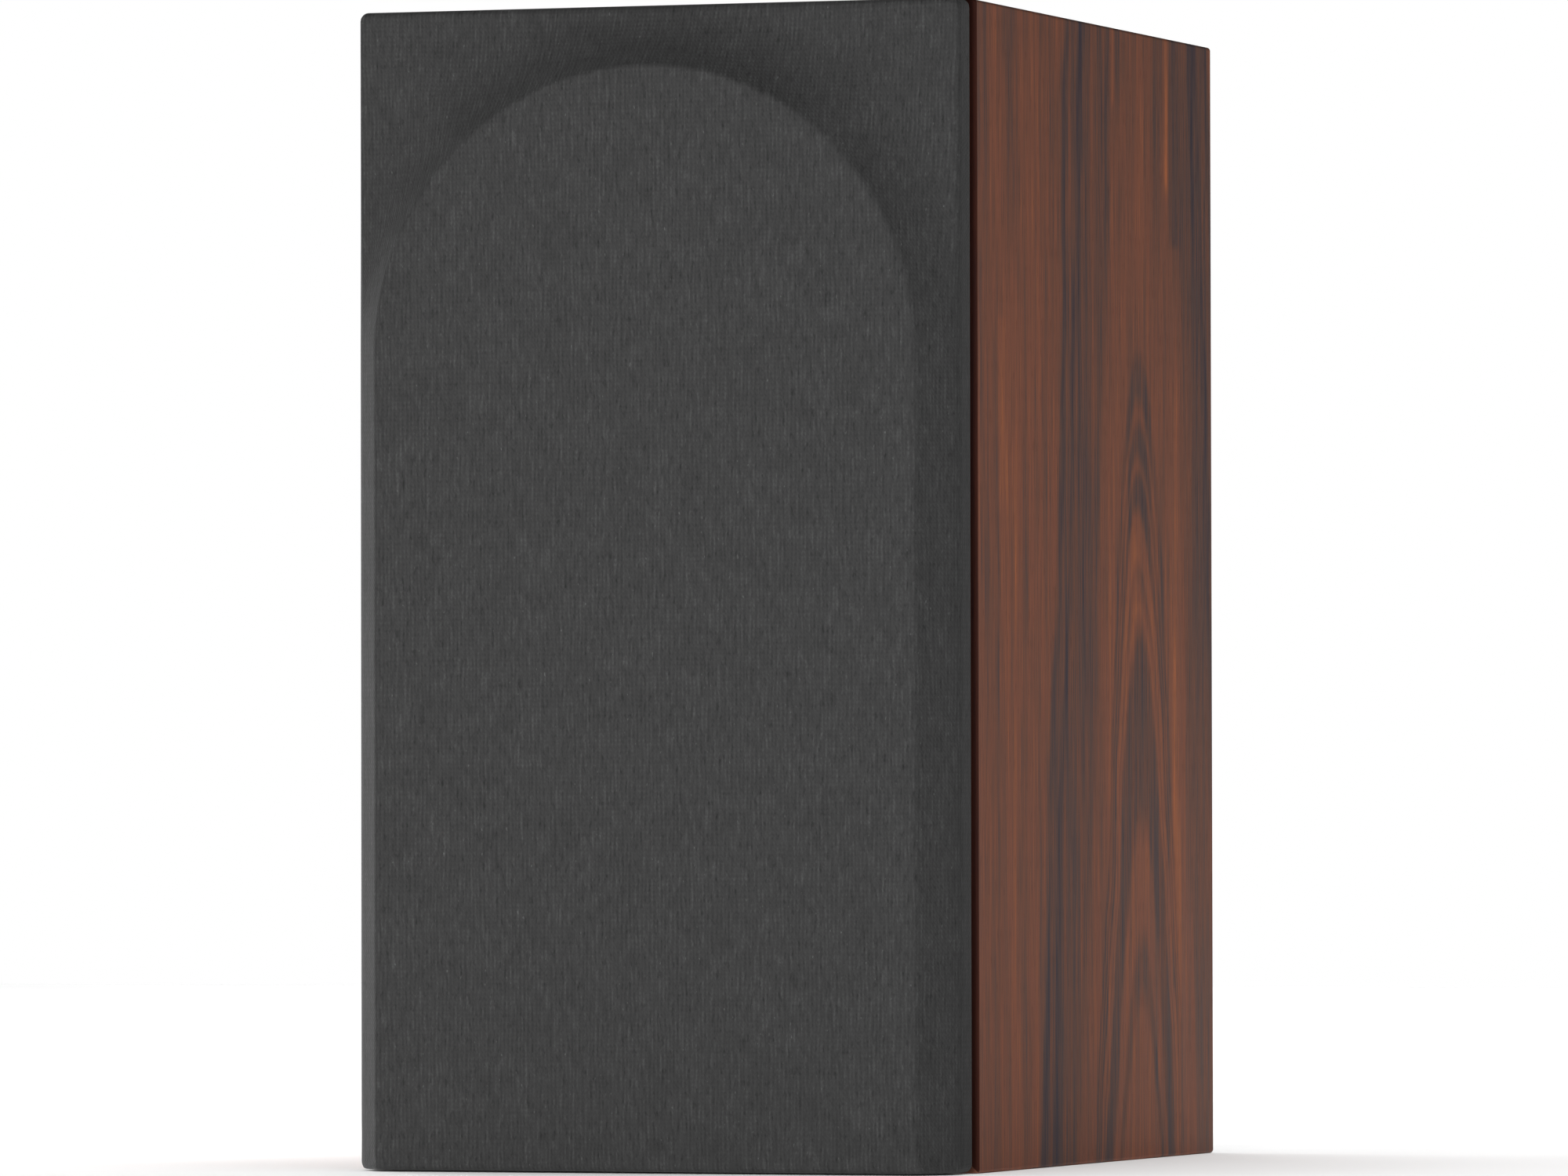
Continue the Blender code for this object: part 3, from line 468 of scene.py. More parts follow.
def veneer_finish():
    """Rosewood: nested growth rings cut flat, with bluish dark lines, orange streaks, fine pores and painted
    shade along the front edge.
    """
    finish = Finish("rosewood_veneer", specular_ior_level=0.04)
    grain = finish.laid(GRAIN)
    across, along, _ = finish.split(grain)
    slow = finish.noise(grain, (14, 7, 0))
    quick = finish.noise(grain, (90, 22, 0), 3, 0.6, offset=(3.1, 0.7, 0))
    sway = finish.add((slow, 0.016), (quick, 0.0050))
    off_centre = finish.math("ADD", across, finish.math("SUBTRACT", sway, 0.5 + FIGURE_CENTRE))
    reach = finish.math("SQRT", finish.math("MULTIPLY_ADD", off_centre, off_centre, FIGURE_BLUNTNESS**2))
    fallen = finish.math("MULTIPLY", finish.math("SUBTRACT", HEIGHT, along), FIGURE_SLOPE)
    ring = finish.math("SUBTRACT", finish.math("SUBTRACT", reach, FIGURE_BLUNTNESS), fallen)
    inner = ringed(finish, ring, INNER_RINGS, FIGURE_LOW, FIGURE_MIDDLE)
    outer = ringed(finish, ring, OUTER_RINGS, FIGURE_MIDDLE, FIGURE_HIGH)
    tone = finish.mix(finish.math("GREATER_THAN", ring, FIGURE_MIDDLE), inner, outer)

    wide = finish.noise(grain, (60, 3, 0), offset=(0, 1.3, 0))
    fibre = finish.noise(grain, (290, 7, 0), 4, 0.6, offset=(1.7, 0, 0))
    hair = finish.noise(grain, (1700, 34, 0), offset=(0.3, 2.2, 0))
    streaked = finish.add((tone, 0.62), (wide, 0.46), (fibre, 1.05), (hair, 0.80))
    for centre, half_width, top, bottom, strength in STREAKS:
        fade = 0.25 * (bottom - top)
        distance = finish.math("ABSOLUTE", finish.math("SUBTRACT", across, centre))
        beside = finish.levels(distance, 0.3 * half_width, 2 * half_width, 1.0, 0.0)
        below_top = finish.levels(along, HEIGHT - bottom - fade, HEIGHT - bottom)
        above_bottom = finish.levels(along, HEIGHT - top + 0.0005, HEIGHT - top + 0.004, 1.0, 0.0)
        mask = finish.math("MULTIPLY", beside, finish.math("MULTIPLY", below_top, above_bottom))
        streaked = finish.math("MULTIPLY_ADD", mask, strength, streaked)

    pore = finish.levels(finish.noise(grain, (2600, 130, 0), 1), 0.60, 0.70)
    wood = finish.ramp(streaked, WOOD_TONES)
    pored = finish.mix(finish.math("MULTIPLY", pore, 0.30), wood, srgb((54, 40, 40)))
    # Painted shade: the front lip and about the first millimetre of veneer behind it are mixed towards a deep
    # red-brown. This stands in for the shadow in the gap between the sleeve and the grille.
    painted_edge_shade = finish.levels(across, 0.0003, 0.0011, 1.0, 0.0)
    colour = finish.mix(finish.math("MULTIPLY", painted_edge_shade, 0.85), pored, srgb((48, 16, 14)))
    roughness = finish.levels(fibre, 0.3, 0.7, 0.50, 0.60)
    return finish.wear(colour, roughness, finish.math("SUBTRACT", hair, pore), 0.00002)


# ---------------- cloth, paint, plastic and metal

KNIT = "knit"
RIB_PITCH = 0.0013
STITCH_PITCH = 0.0016
STITCH_LEAN = 1.2 * STITCH_PITCH / FULL_TURN


def grille_cloth_finish():
    """Charcoal stretch knit: fine uneven upright ribs, darker slubs and a few pale specks."""
    finish = Finish("charcoal_knit", specular_ior_level=0.10, sheen_weight=0.12, sheen_roughness=0.40)
    knit = finish.laid(KNIT)
    across, along, _ = finish.split(knit)
    drift = finish.noise(knit, (160, 45, 0), 3)
    swayed = finish.math("MULTIPLY_ADD", finish.math("SUBTRACT", drift, 0.5), 0.0022, across)
    rib_wave = finish.sine(swayed, RIB_PITCH)
    leaning = finish.math("MULTIPLY_ADD", rib_wave, STITCH_LEAN, along)
    stitch = finish.raised(finish.sine(leaning, STITCH_PITCH))
    threads = finish.noise(knit, (840, 160, 0), 3, distortion=0.6, offset=(7, 1, 0))
    slub = finish.levels(finish.noise(knit, (1000, 300, 0)), 0.55, 0.72)
    speck = finish.levels(finish.noise(knit, (1100, 500, 0), 1, offset=(5, 5, 0)), 0.72, 0.79)
    fuzz = finish.noise(knit, (1500, 1100, 0), 3)
    mottle = finish.noise(knit, (90, 60, 0), 4, 0.6, offset=(2, 2, 0))
    ribs = finish.add((finish.raised(rib_wave), 0.11), (threads, 0.58), (stitch, 0.03))
    tone = finish.add((ribs, 1.0), (fuzz, 0.34), (mottle, 0.22), (slub, -0.18), (speck, 0.30))
    colour = finish.ramp(tone, [(0.0, (36, 36, 36)), (0.5, (62, 62, 62)), (1.0, (96, 96, 96))])
    height = finish.add((ribs, 0.8), (stitch, 0.3), (fuzz, 0.5))
    return finish.wear(colour, finish.levels(fuzz, 0.2, 0.8, 0.85, 0.98), height, 0.00014)


def from_axis(finish, middle):
    """The distance from the axis along Y through middle."""
    x, _, z = finish.split(finish.stretched(finish.place(), (1, 1, 1), -middle))
    return finish.node("VectorMath", {0: finish.joined(x, z)}, "Value", operation="LENGTH")


def cone_paper_finish():
    """Coated paper pulp with matted fibres and faint rings."""
    finish = Finish("coated_pulp", specular_ior_level=0.20)
    place = finish.place()
    fibres = finish.noise(place, 700, 5, 0.7, 1.5)
    clumps = finish.noise(place, 160, 3, 0.6)
    ring = finish.raised(finish.sine(from_axis(finish, WOOFER), 0.0022))
    tone = finish.add((fibres, 0.8), (clumps, 0.4), (ring, 0.06))
    colour = finish.ramp(tone, [(0.2, (30, 30, 31)), (0.5, (45, 45, 47)), (0.85, (70, 70, 72))])
    height = finish.add((fibres, 0.8), (ring, 0.3))
    return finish.wear(colour, finish.levels(fibres, 0.3, 0.7, 0.72, 0.90), height, 0.00012)


def woven_finish(name, dark, light, pitch, roughness, depth):
    """Plain weave: warp and weft threads that pass over each other."""
    finish = Finish(name, specular_ior_level=0.25)
    place = finish.place()
    x, _, z = finish.split(place)
    over = finish.raised(finish.math("MULTIPLY", finish.sine(x, pitch), finish.sine(z, pitch)))
    stain = finish.noise(place, 220, 3, 0.6)
    colour = finish.ramp(finish.add((over, 0.5), (stain, 0.7)), [(0.2, dark), (0.8, light)])
    return finish.wear(colour, finish.levels(stain, 0.3, 0.7, roughness - 0.08, roughness + 0.08), over, depth)


def turned_metal_finish():
    """Zinc plate: fine rings left by the lathe, with smudges."""
    finish = Finish("zinc_plate", metallic=1.0)
    rings = finish.noise(finish.joined(from_axis(finish, WOOFER), 0.0), 9000)
    smudge = finish.noise(finish.place(), 140, 4, 0.6)
    tone = finish.add((rings, 0.5), (smudge, 0.5))
    colour = finish.ramp(tone, [(0.3, (168, 168, 172)), (0.7, (214, 214, 218))])
    return finish.wear(colour, finish.levels(smudge, 0.3, 0.7, 0.22, 0.42), rings, 0.00001)


def ferrite_finish():
    """Sintered ferrite: dull grey grain with small chips."""
    finish = Finish("ferrite", specular_ior_level=0.40)
    place = finish.place()
    grain = finish.noise(place, 2500, 3, 0.7)
    chips = finish.levels(finish.cells(place, 420), 0.0, 0.18, 1.0, 0.0)
    colour = finish.ramp(finish.add((grain, 0.7), (chips, 0.2)), [(0.3, (48, 48, 51)), (0.75, (84, 84, 88))])
    height = finish.math("SUBTRACT", grain, chips)
    return finish.wear(colour, finish.levels(grain, 0.3, 0.7, 0.60, 0.80), height, 0.00008)


def circuit_board_finish():
    """Green solder mask over glass cloth, with broad copper tracks showing as darker lanes."""
    finish = Finish("circuit_board", specular_ior_level=0.50)
    place = finish.place()
    x, y, _ = finish.split(place)
    lane_place = finish.joined(finish.math("SNAP", x, 0.006), finish.math("SNAP", y, 0.010))
    lanes = finish.levels(finish.noise(lane_place, 55, 0), 0.50, 0.52)
    cloth = finish.noise(place, (2400, 2400, 1), 1)
    colour = finish.ramp(finish.add((lanes, 0.6), (cloth, 0.3)), [(0.2, (18, 72, 40)), (0.8, (44, 118, 66))])
    return finish.wear(colour, finish.levels(cloth, 0.3, 0.7, 0.38, 0.50), lanes, 0.00004)


def foam_finish():
    """Open-cell acoustic foam."""
    finish = Finish("acoustic_foam", specular_ior_level=0.10)
    place = finish.place()
    pores = finish.cells(place, 900)
    tone = finish.add((pores, 0.7), (finish.noise(place, 120, 3), 0.3))
    colour = finish.ramp(tone, [(0.2, (46, 46, 49)), (0.8, (96, 96, 100))])
    return finish.wear(colour, finish.levels(pores, 0.0, 0.6, 0.98, 0.88), pores, 0.0006)


def layered(name, layers, stops, rough, relief, **sockets):
    """A finish of noise layers, (weight in the tone, scale, detail, roughness) each.

    Stops are the tone's colours, rough is (layer, smoothest, roughest) and relief is (layer, metres).
    """
    finish = Finish(name, **sockets)
    place = finish.place()
    noises = [finish.noise(place, *look) for _, *look in layers]
    tone = finish.add(*zip(noises, [weight for weight, *_ in layers]))
    layer, smoothest, roughest = rough
    roughness = finish.levels(noises[layer], 0.3, 0.7, smoothest, roughest)
    return finish.wear(finish.ramp(tone, stops), roughness, noises[relief[0]], relief[1])


def plastic_finish(name, dark, light, roughness, pebble_scale=2200, depth=0.00004):
    """Moulded plastic with a fine spark-eroded texture and faint handling marks."""
    layers = ((0.5, pebble_scale, 3, 0.6), (0.2, 120, 4, 0.6))
    rough = (1, roughness - 0.02, roughness + 0.03)
    return layered(name, layers, [(0.3, dark), (0.7, light)], rough, (0, depth), specular_ior_level=0.45)


def metal_finish(name, dark, light, roughness):
    """Plated metal with fine marks and uneven shine."""
    layers = ((0.8, 400, 4, 0.65), (0.3, (200, 200, 4000)))
    rough = (0, roughness - 0.06, roughness + 0.14)
    return layered(name, layers, [(0.3, dark), (0.7, light)], rough, (1, 0.000006), metallic=1.0)


# bare fibreboard on the inside of the cabinet
raw_board = layered(
    "raw_fibreboard", [(0.7, 900, 4, 0.7), (0.4, 40, 3)], [(0.25, (128, 100, 72)), (0.75, (172, 142, 108))],
    (0, 0.82, 0.95), (0, 0.00010), specular_ior_level=0.15,
)
finishes = {
    "veneer": veneer_finish(),
    # textured paint with a fine pebbled skin
    "baffle_paint": layered(
        "black_textured_paint", [(0.5, 1500, 3, 0.6), (0.12, 24)], [(0.2, (20, 20, 21)), (0.8, (40, 40, 42))],
        (0, 0.58, 0.68), (0, 0.00010), specular_ior_level=0.35,
    ),
    "grille_cloth": grille_cloth_finish(),
    # fibreboard stained black, with its short fibres showing
    "grille_board": layered(
        "stained_fibreboard", [(1.0, (500, 500, 1600), 4, 0.7)], [(0.3, (24, 23, 22)), (0.7, (46, 43, 40))],
        (0, 0.75, 0.90), (0, 0.00012), specular_ior_level=0.20,
    ),
    "black_plastic": plastic_finish("black_plastic", (24, 24, 25), (42, 42, 44), 0.42),
    "red_plastic": plastic_finish("red_plastic", (150, 18, 16), (196, 34, 28), 0.30, 1600, 0.00002),
    "cone_paper": cone_paper_finish(),
    # matt rubber with a trace of dust and bloom
    "surround_rubber": layered(
        "surround_rubber", [(0.7, 90, 4, 0.65), (0.2, 3000)], [(0.3, (20, 20, 20)), (0.7, (38, 38, 39))],
        (0, 0.42, 0.62), (1, 0.00002), specular_ior_level=0.40,
    ),
    "dome_silk": woven_finish("coated_silk", (22, 22, 24), (52, 52, 55), 0.0004, 0.50, 0.00003),
    "spider_cloth": woven_finish("resin_cloth", (150, 104, 44), (214, 168, 92), 0.0009, 0.80, 0.00010),
    # powder coat with orange-peel skin
    "basket_metal": layered(
        "powder_coat", [(0.0, 900), (1.0, 30, 3)], [(0.3, (28, 28, 29)), (0.7, (36, 36, 38))],
        (0, 0.38, 0.48), (0, 0.00006), specular_ior_level=0.50,
    ),
    "plated_steel": turned_metal_finish(),
    "dark_screw": metal_finish("black_oxide", (38, 38, 41), (66, 66, 70), 0.36),
    "ferrite": ferrite_finish(),
    # enamelled wire, slightly uneven from turn to turn
    "copper_coil": layered(
        "enamelled_copper", [(1.0, (120, 900, 900), 3)], [(0.3, (150, 78, 42)), (0.7, (214, 128, 76))],
        (0, 0.22, 0.40), (0, 0.00003), metallic=1.0, coat_weight=0.6, coat_roughness=0.15,
    ),
    "gold_plate": metal_finish("gold_plate", (206, 160, 84), (244, 206, 128), 0.22),
    "circuit_board": circuit_board_finish(),
    # yellow film with a few wrinkles
    "capacitor_film": layered(
        "wrapped_film", [(0.5, (160, 700, 700), 3), (0.5, 80)], [(0.3, (176, 148, 40)), (0.7, (214, 184, 64))],
        (0, 0.25, 0.42), (0, 0.00006), specular_ior_level=0.55, coat_weight=0.4, coat_roughness=0.1,
    ),
    "lead_sleeve": plastic_finish("lead_sleeve", (36, 36, 38), (60, 60, 63), 0.46, 1200, 0.00005),
    "foam": foam_finish(),
}

# ---------------- cabinet

EASE = 0.0008


def cabinet_sleeve():
    """The four mitred panels as one veneered sleeve with eased edges, bare board inside."""
    front = [(PANEL, LIP_Y)] + [(inset, LIP_Y + depth) for inset, depth in eased(EASE, 4)]
    section = front + [(inset, LIP_Y + BACK_Y - y) for inset, y in reversed(front)]
    bm = bmesh.new()
    loft(bm, outlines(MIDDLE, HALF_WIDTH, HEIGHT / 2, 0.0012, section, 0.0002), closed=True)
    bm.normal_update()
    grain = bm.loops.layers.uv.new(GRAIN)
    for face in bm.faces:
        centre = face.calc_center_median()
        bare = abs(centre.x) < HALF_WIDTH - PANEL + 1e-4 and PANEL - 1e-4 < centre.z < HEIGHT - PANEL + 1e-4
        face.material_index = 1 if bare and abs(face.normal.y) < 0.5 else 0
        on_side = HALF_WIDTH - abs(centre.x) < min(centre.z, HEIGHT - centre.z)
        for corner in face.loops:
            corner[grain].uv = grain_place(corner.vert.co, centre, on_side)
    panels = ["side_panel_right", "side_panel_left", "top_panel", "bottom_panel"]
    sleeve = piece_from(bm, "cabinet_sleeve", "cabinet", "veneer", panels)
    sleeve.data.materials.append(raw_board)


def grain_place(point, centre, on_side):
    """Across and along the veneer. It runs up both sides, and on over the top and bottom."""
    inward = max(min(HALF_WIDTH - abs(point.x), point.z, HEIGHT - point.z), 0.0)
    across = point.y - LIP_Y
    if centre.y < LIP_Y + EASE / 2:
        across = -inward
    elif centre.y > BACK_Y - EASE / 2:
        across += inward
    if on_side:
        return (across, point.z) if centre.x > 0 else (across + 0.013, point.z - 0.060)
    if centre.z > HEIGHT / 2:
        return (across, HEIGHT + HALF_WIDTH - point.x)
    return (across + 0.007, point.x - HALF_WIDTH)


# ---------------- grille

GRILLE_TOP = GRILLE_HIGH.z
GRILLE_BACK_Y = GRILLE_HIGH.y
CHAMFER = 0.0106
RIDGE_HALF = GRILLE_HIGH.x - CHAMFER
ARCH_Z = GRILLE_TOP - 0.0195 - RIDGE_HALF
RISE = 0.0131
RIM_CORNER = 0.0026
HOLLOW_GROWTH = 0.85
MAX_HOLLOW = 3.4
RIDGE_FOLD = 0.0010
RIM_FOLD = 0.0030
FLOOR_FOLD = 0.0030
BACK_FOLD = 0.0010
BACK_STRIP = 0.0070
ARCH_STATIONS = 44
CORNER_STATIONS = 6
SIDE_STATIONS = 44
FLOOR_STATIONS = 36
FRONT_LOOPS = 22


def rim_hit(angle, half, top, corner):
    """Where a ray from the arch's centre meets the grille's round-cornered outline."""
    along, up = abs(math.cos(angle)), math.sin(angle)
    reach = min(half / max(along, 1e-9), (top - ARCH_Z) / max(up, 1e-9))
    if reach * along > half - corner and reach * up > top - corner - ARCH_Z:
        middle = Vector((half - corner, top - corner - ARCH_Z))
        across = middle.dot(Vector((along, up)))
        reach = across + math.sqrt(across**2 - middle.length_squared + corner**2)
    return Vector((math.copysign(reach * along, math.cos(angle)), ARCH_Z + reach * up))


def grille_stations(inset):
    """Stations once round the grille, each (point on the flat front's ridge, point on the rim, rise)."""
    half = GRILLE_HIGH.x - inset
    top = GRILLE_TOP - inset
    bottom = GRILLE_LOW.z + inset
    ridge_half = RIDGE_HALF - inset
    corner = RIM_CORNER - inset
    fold_z = bottom + FLOOR_FOLD
    into_corner = math.atan2(top - corner - ARCH_Z, half)
    out_of_corner = math.atan2(top - ARCH_Z, half - corner)
    quarter = spread(0, into_corner, ARCH_STATIONS)
    quarter += spread(into_corner, out_of_corner, CORNER_STATIONS)
    quarter += spread(out_of_corner, math.pi / 2, ARCH_STATIONS)
    right = [(Vector((0, ARCH_Z + ridge_half)), Vector((0, top)), 1.0)]
    for angle in reversed(quarter):
        ridge = Vector((ridge_half * math.cos(angle), ARCH_Z + ridge_half * math.sin(angle)))
        right.append((ridge, rim_hit(angle, half, top, corner), 1.0))
    for z in spread(ARCH_Z, bottom + corner, SIDE_STATIONS)[1:]:
        right.append((Vector((ridge_half, max(z, fold_z))), Vector((half, z)), 1.0))
    foot_rims = [Vector((half - across, bottom + up)) for up, across in eased(corner, CORNER_STATIONS)]
    foot_rims += [Vector((x, bottom)) for x in spread(half - corner, ridge_half, CORNER_STATIONS)[1:]]
    for rim in foot_rims:
        right.append((Vector((ridge_half, fold_z)), rim, (rim.x - ridge_half) / (half - ridge_half)))
    for x in spread(ridge_half, 0, FLOOR_STATIONS):
        right.append((Vector((x, fold_z)), Vector((x, bottom)), 0.0))
    middle = (Vector((0, fold_z)), Vector((0, bottom)), 0.0)
    left = [(Vector((-a.x, a.y)), Vector((-b.x, b.y)), rise) for a, b, rise in reversed(right[1:])]
    return [*right, middle, *left]


def grille_section(length, rise, fold, back):
    """The skin's section at one station, as (outward from the ridge, behind the front) points.

    A short slope is straight. In the wide corners above the arch it is hollow, and flattens outward.
    """
    power = min(1 + HOLLOW_GROWTH * max(0.0, length / CHAMFER - 1), MAX_HOLLOW)
    drop = RISE * rise

    def sunk(reach):
        return drop * (1 - (1 - min(reach / length, 1)) ** power)

    steep = sunk(fold) / max(fold, 1e-9)
    points = [Vector((fold * (i / 3 - 1), steep * fold * (i / 6) ** 2)) for i in range(6)]
    rim_fold = min(RIM_FOLD, 0.9 * (length - fold)) if rise > 0 else FLOOR_FOLD
    slope_end = max(length - rim_fold, 0.0)
    points += [Vector((reach, sunk(reach))) for reach in spread(fold, slope_end, 14)]
    rim = Vector((length, drop))
    points += bend(Vector((slope_end, sunk(slope_end))), rim, rim + Vector((0, rim_fold)), 6)
    points += [Vector((length, y)) for y in spread(drop + rim_fold, back - BACK_FOLD, 4)[1:]]
    edge = Vector((length, back))
    return points + bend(edge - Vector((0, BACK_FOLD)), edge, edge - Vector((BACK_FOLD, 0)), 4)


def grille_skin(inset, back_y):
    """Rows of points and their places on the knit, from the ridge over the rim to the back."""
    front_y = GRILLE_LOW.y + inset
    rows = []
    knit_rows = []
    for ridge, rim, rise in grille_stations(inset):
        outward = (rim - ridge).normalized()
        above_floor = ridge.y - GRILLE_LOW.z - inset - FLOOR_FOLD
        fold = RIDGE_FOLD * min(above_floor / 0.008, 1)
        section = grille_section((rim - ridge).length, rise, fold, back_y - front_y)
        travelled = section[0].x
        row = []
        knit = []
        for before, point in zip([section[0], *section], section):
            travelled += (point - before).length
            place = ridge + outward * point.x
            row.append(Vector((place.x, front_y + point.y, place.y)))
            knit.append(ridge + outward * travelled)
        rows.append(row)
        knit_rows.append(knit)
    return [list(loop) for loop in zip(*rows)], [list(loop) for loop in zip(*knit_rows)]


def grille_cloth():
    """One sheet of knit over the frame: the flat front, the slopes, the sides and a strip behind."""
    loops, knit = grille_skin(0.0, GRILLE_BACK_Y)
    low = GRILLE_LOW.z + RIDGE_HALF
    centres = [Vector((0, loops[0][0].y, min(max(point.z, low), ARCH_Z))) for point in loops[0]]
    front = []
    for share in spread(0, 1, FRONT_LOOPS):
        front.append([centre.lerp(point, share) for centre, point in zip(centres, loops[0])])
    front_knit = [[Vector((point.x, point.z)) for point in loop] for loop in front]
    inward = [(Vector((c.x, p.y, c.z)) - p).normalized() for c, p in zip(centres, loops[-1])]
    strip = []
    strip_knit = []
    for step in (BACK_STRIP / 3, BACK_STRIP * 2 / 3, BACK_STRIP):
        strip.append([point + way * step for point, way in zip(loops[-1], inward)])
        strip_knit.append([k - Vector((way.x, way.z)) * step for k, way in zip(knit[-1], inward)])
    bm = bmesh.new()
    rings = loft(bm, [*front, *loops, *strip], capped=False)
    laid = {}
    for ring, places in zip(rings, [*front_knit, *knit, *strip_knit]):
        laid.update(zip(ring, places))
    layer = bm.loops.layers.uv.new(KNIT)
    for face in bm.faces:
        for corner in face.loops:
            corner[layer].uv = laid[corner.vert]
    cloth = detailed(bm, "grille_cloth", crease=80)


FRAME_INSET = 0.0010
FRAME_STILE = 0.0070
FRAME_BOTTOM_BAR = 0.0280
FRAME_EASE = 0.0012
PEG_RADIUS = 0.0028
PEG_HOLE_DEPTH = 0.0085


def grille_frame():
    """Fibreboard frame under the cloth, with an arched opening for the drive units."""
    back_y = GRILLE_BACK_Y - 0.0008
    skin, _ = grille_skin(FRAME_INSET, back_y)
    narrower = 1 - FRAME_STILE / RIDGE_HALF

    def opening(y, wider):
        points = []
        for point in skin[0]:
            z = max(ARCH_Z + (point.z - ARCH_Z) * narrower, FRAME_BOTTOM_BAR)
            outward = Vector((point.x, 0, point.z - ARCH_Z)).normalized()
            points.append(Vector((point.x * narrower, y, z)) + outward * wider)
        return points

    edge = eased(FRAME_EASE, 3)
    loops = [opening(back_y - depth, wider) for wider, depth in edge]
    loops += [opening(skin[0][0].y + depth, wider) for wider, depth in reversed(edge)]
    bm = bmesh.new()
    loft(bm, loops + skin, closed=True)
    board = detailed(bm, "grille_frame")
    peg_hole = tube(0, PEG_RADIUS + GAP, -PEG_HOLE_DEPTH, 0.005)
    carve_turned(board, peg_hole, four("grille_peg", GRILLE_BACK_Y), 48)


def grille_pegs():
    """Tapered split pegs, glued into the frame."""
    peg = mm((0, -8), (2.8, -8), (2.8, 6.8), (2.6, 7.8), (1.8, 10), (0, 10))
    for number, place in enumerate(four("grille_peg", GRILLE_BACK_Y), 1):
        turned(f"grille_peg_{number}", peg, place, 48, 0.0003)


# ---------------- boards

BAFFLE_REVEAL = 0.0030
WOOFER_RADIUS = 0.0760
WOOFER_LEDGE_RADIUS = 0.0660
WOOFER_FLANGE_DEPTH = 0.0045
TWEETER_RADIUS = 0.0480
TWEETER_MAGNET_RADIUS = 0.0300
TWEETER_PLATE_DEPTH = 0.0043
SCREW_RADIUS = 0.0019
SCREW_HEAD_RADIUS = 0.0037
SCREW_HEAD_DEPTH = 0.0015
SCREW_LENGTH = 0.0130
SOCKET_RADIUS = 0.0050
SOCKET_RIM_RADIUS = 0.0065
SOCKET_RIM = 0.0009
PORT_TUBE_RADIUS = 0.0300
CUP_OPENING = (0.0365, 0.0255, 0.0050)
TERMINAL_SCREW_RADIUS = 0.0016
TERMINAL_SCREW_LENGTH = 0.0120
TERMINAL_HEAD_RADIUS = 0.0033
TERMINAL_HEAD_DEPTH = 0.0008


def eased_board(node, half_width, half_height, corner, section):
    """A board about the cabinet's middle, with a section of (inset, y) points."""
    bm = bmesh.new()
    loft(bm, outlines(MIDDLE, half_width, half_height, corner, section))
    return detailed(bm, node)


def front_baffle():
    """The black board that carries the drive units, with an eased front edge."""
    step_y = LIP_Y - GAP
    plug = PANEL + GAP - BAFFLE_REVEAL
    section = [(inset, BAFFLE_Y + depth) for inset, depth in eased(0.0009, 4)] + [(0.0, step_y)]
    section += [(plug, step_y), (plug, BAFFLE_BACK_Y - 0.0006), (plug + 0.0006, BAFFLE_BACK_Y)]
    size = (HALF_WIDTH - BAFFLE_REVEAL, HEIGHT / 2 - BAFFLE_REVEAL)
    board = eased_board("front_baffle", *size, 0.0030, section)
    through = BAFFLE_BACK_Y - BAFFLE_Y + 0.005
    sockets = four("grille_socket", BAFFLE_Y)
    for places, seat_radius, seat_depth, bore_radius, facets in (
        ([WOOFER], WOOFER_RADIUS, WOOFER_FLANGE_DEPTH, WOOFER_LEDGE_RADIUS + GAP, 160),
        ([TWEETER], TWEETER_RADIUS, TWEETER_PLATE_DEPTH, TWEETER_MAGNET_RADIUS + 0.004, 128),
        (sockets, SOCKET_RIM_RADIUS, SOCKET_RIM, SOCKET_RADIUS + GAP, 48),
    ):
        hole = stepped_hole(seat_radius + GAP, seat_depth + GAP, bore_radius, through)
        carve_turned(board, hole, places, facets)
    screws = four("woofer_screw", BAFFLE_Y) + four("tweeter_screw", BAFFLE_Y)
    carve_turned(board, tube(0, SCREW_RADIUS + GAP, 0.001, SCREW_LENGTH + GAP + 0.0005), screws, 24)


def rear_panel():
    """Back board, set a little into the sleeve, with the port and terminal cut-outs."""
    ease = 0.0006
    section = [(ease, REAR_LOW.y), (0.0, REAR_LOW.y + ease), (0.0, REAR_HIGH.y - ease), (ease, REAR_HIGH.y)]
    board = eased_board("rear_panel", REAR_HIGH.x, (REAR_HIGH.z - REAR_LOW.z) / 2, 0.0010, section)
    carve_turned(board, tube(0, PORT_TUBE_RADIUS + GAP, -2 * PANEL, PANEL), [PORT], 128)
    bm = bmesh.new()
    loft(bm, [rounded_rectangle(CUP, *CUP_OPENING, y) for y in (REAR_LOW.y - PANEL, REAR_HIGH.y + PANEL)])
    carve(board, bm)
    pilot = tube(0, TERMINAL_SCREW_RADIUS + GAP, -TERMINAL_SCREW_LENGTH - 0.0005, PANEL)
    carve_turned(board, pilot, four("terminal_screw", REAR_HIGH.y), 24)


def grille_sockets():
    """Moulded cups that hold the grille's pegs, with a rounded mouth."""
    mouth = mm((0, 11.5), (3.2, 11.5), (3.2, 0.8), (3.8, 0))
    rim = [(SOCKET_RIM_RADIUS, 0), (SOCKET_RIM_RADIUS, SOCKET_RIM), (SOCKET_RADIUS, SOCKET_RIM)]
    back = [(SOCKET_RADIUS, 0.0130), (0, 0.0130)]
    for number, place in enumerate(four("grille_socket", BAFFLE_Y), 1):
        turned(f"grille_socket_{number}", mouth + rim + back, place, 64, 0.0002)


# ---------------- screws


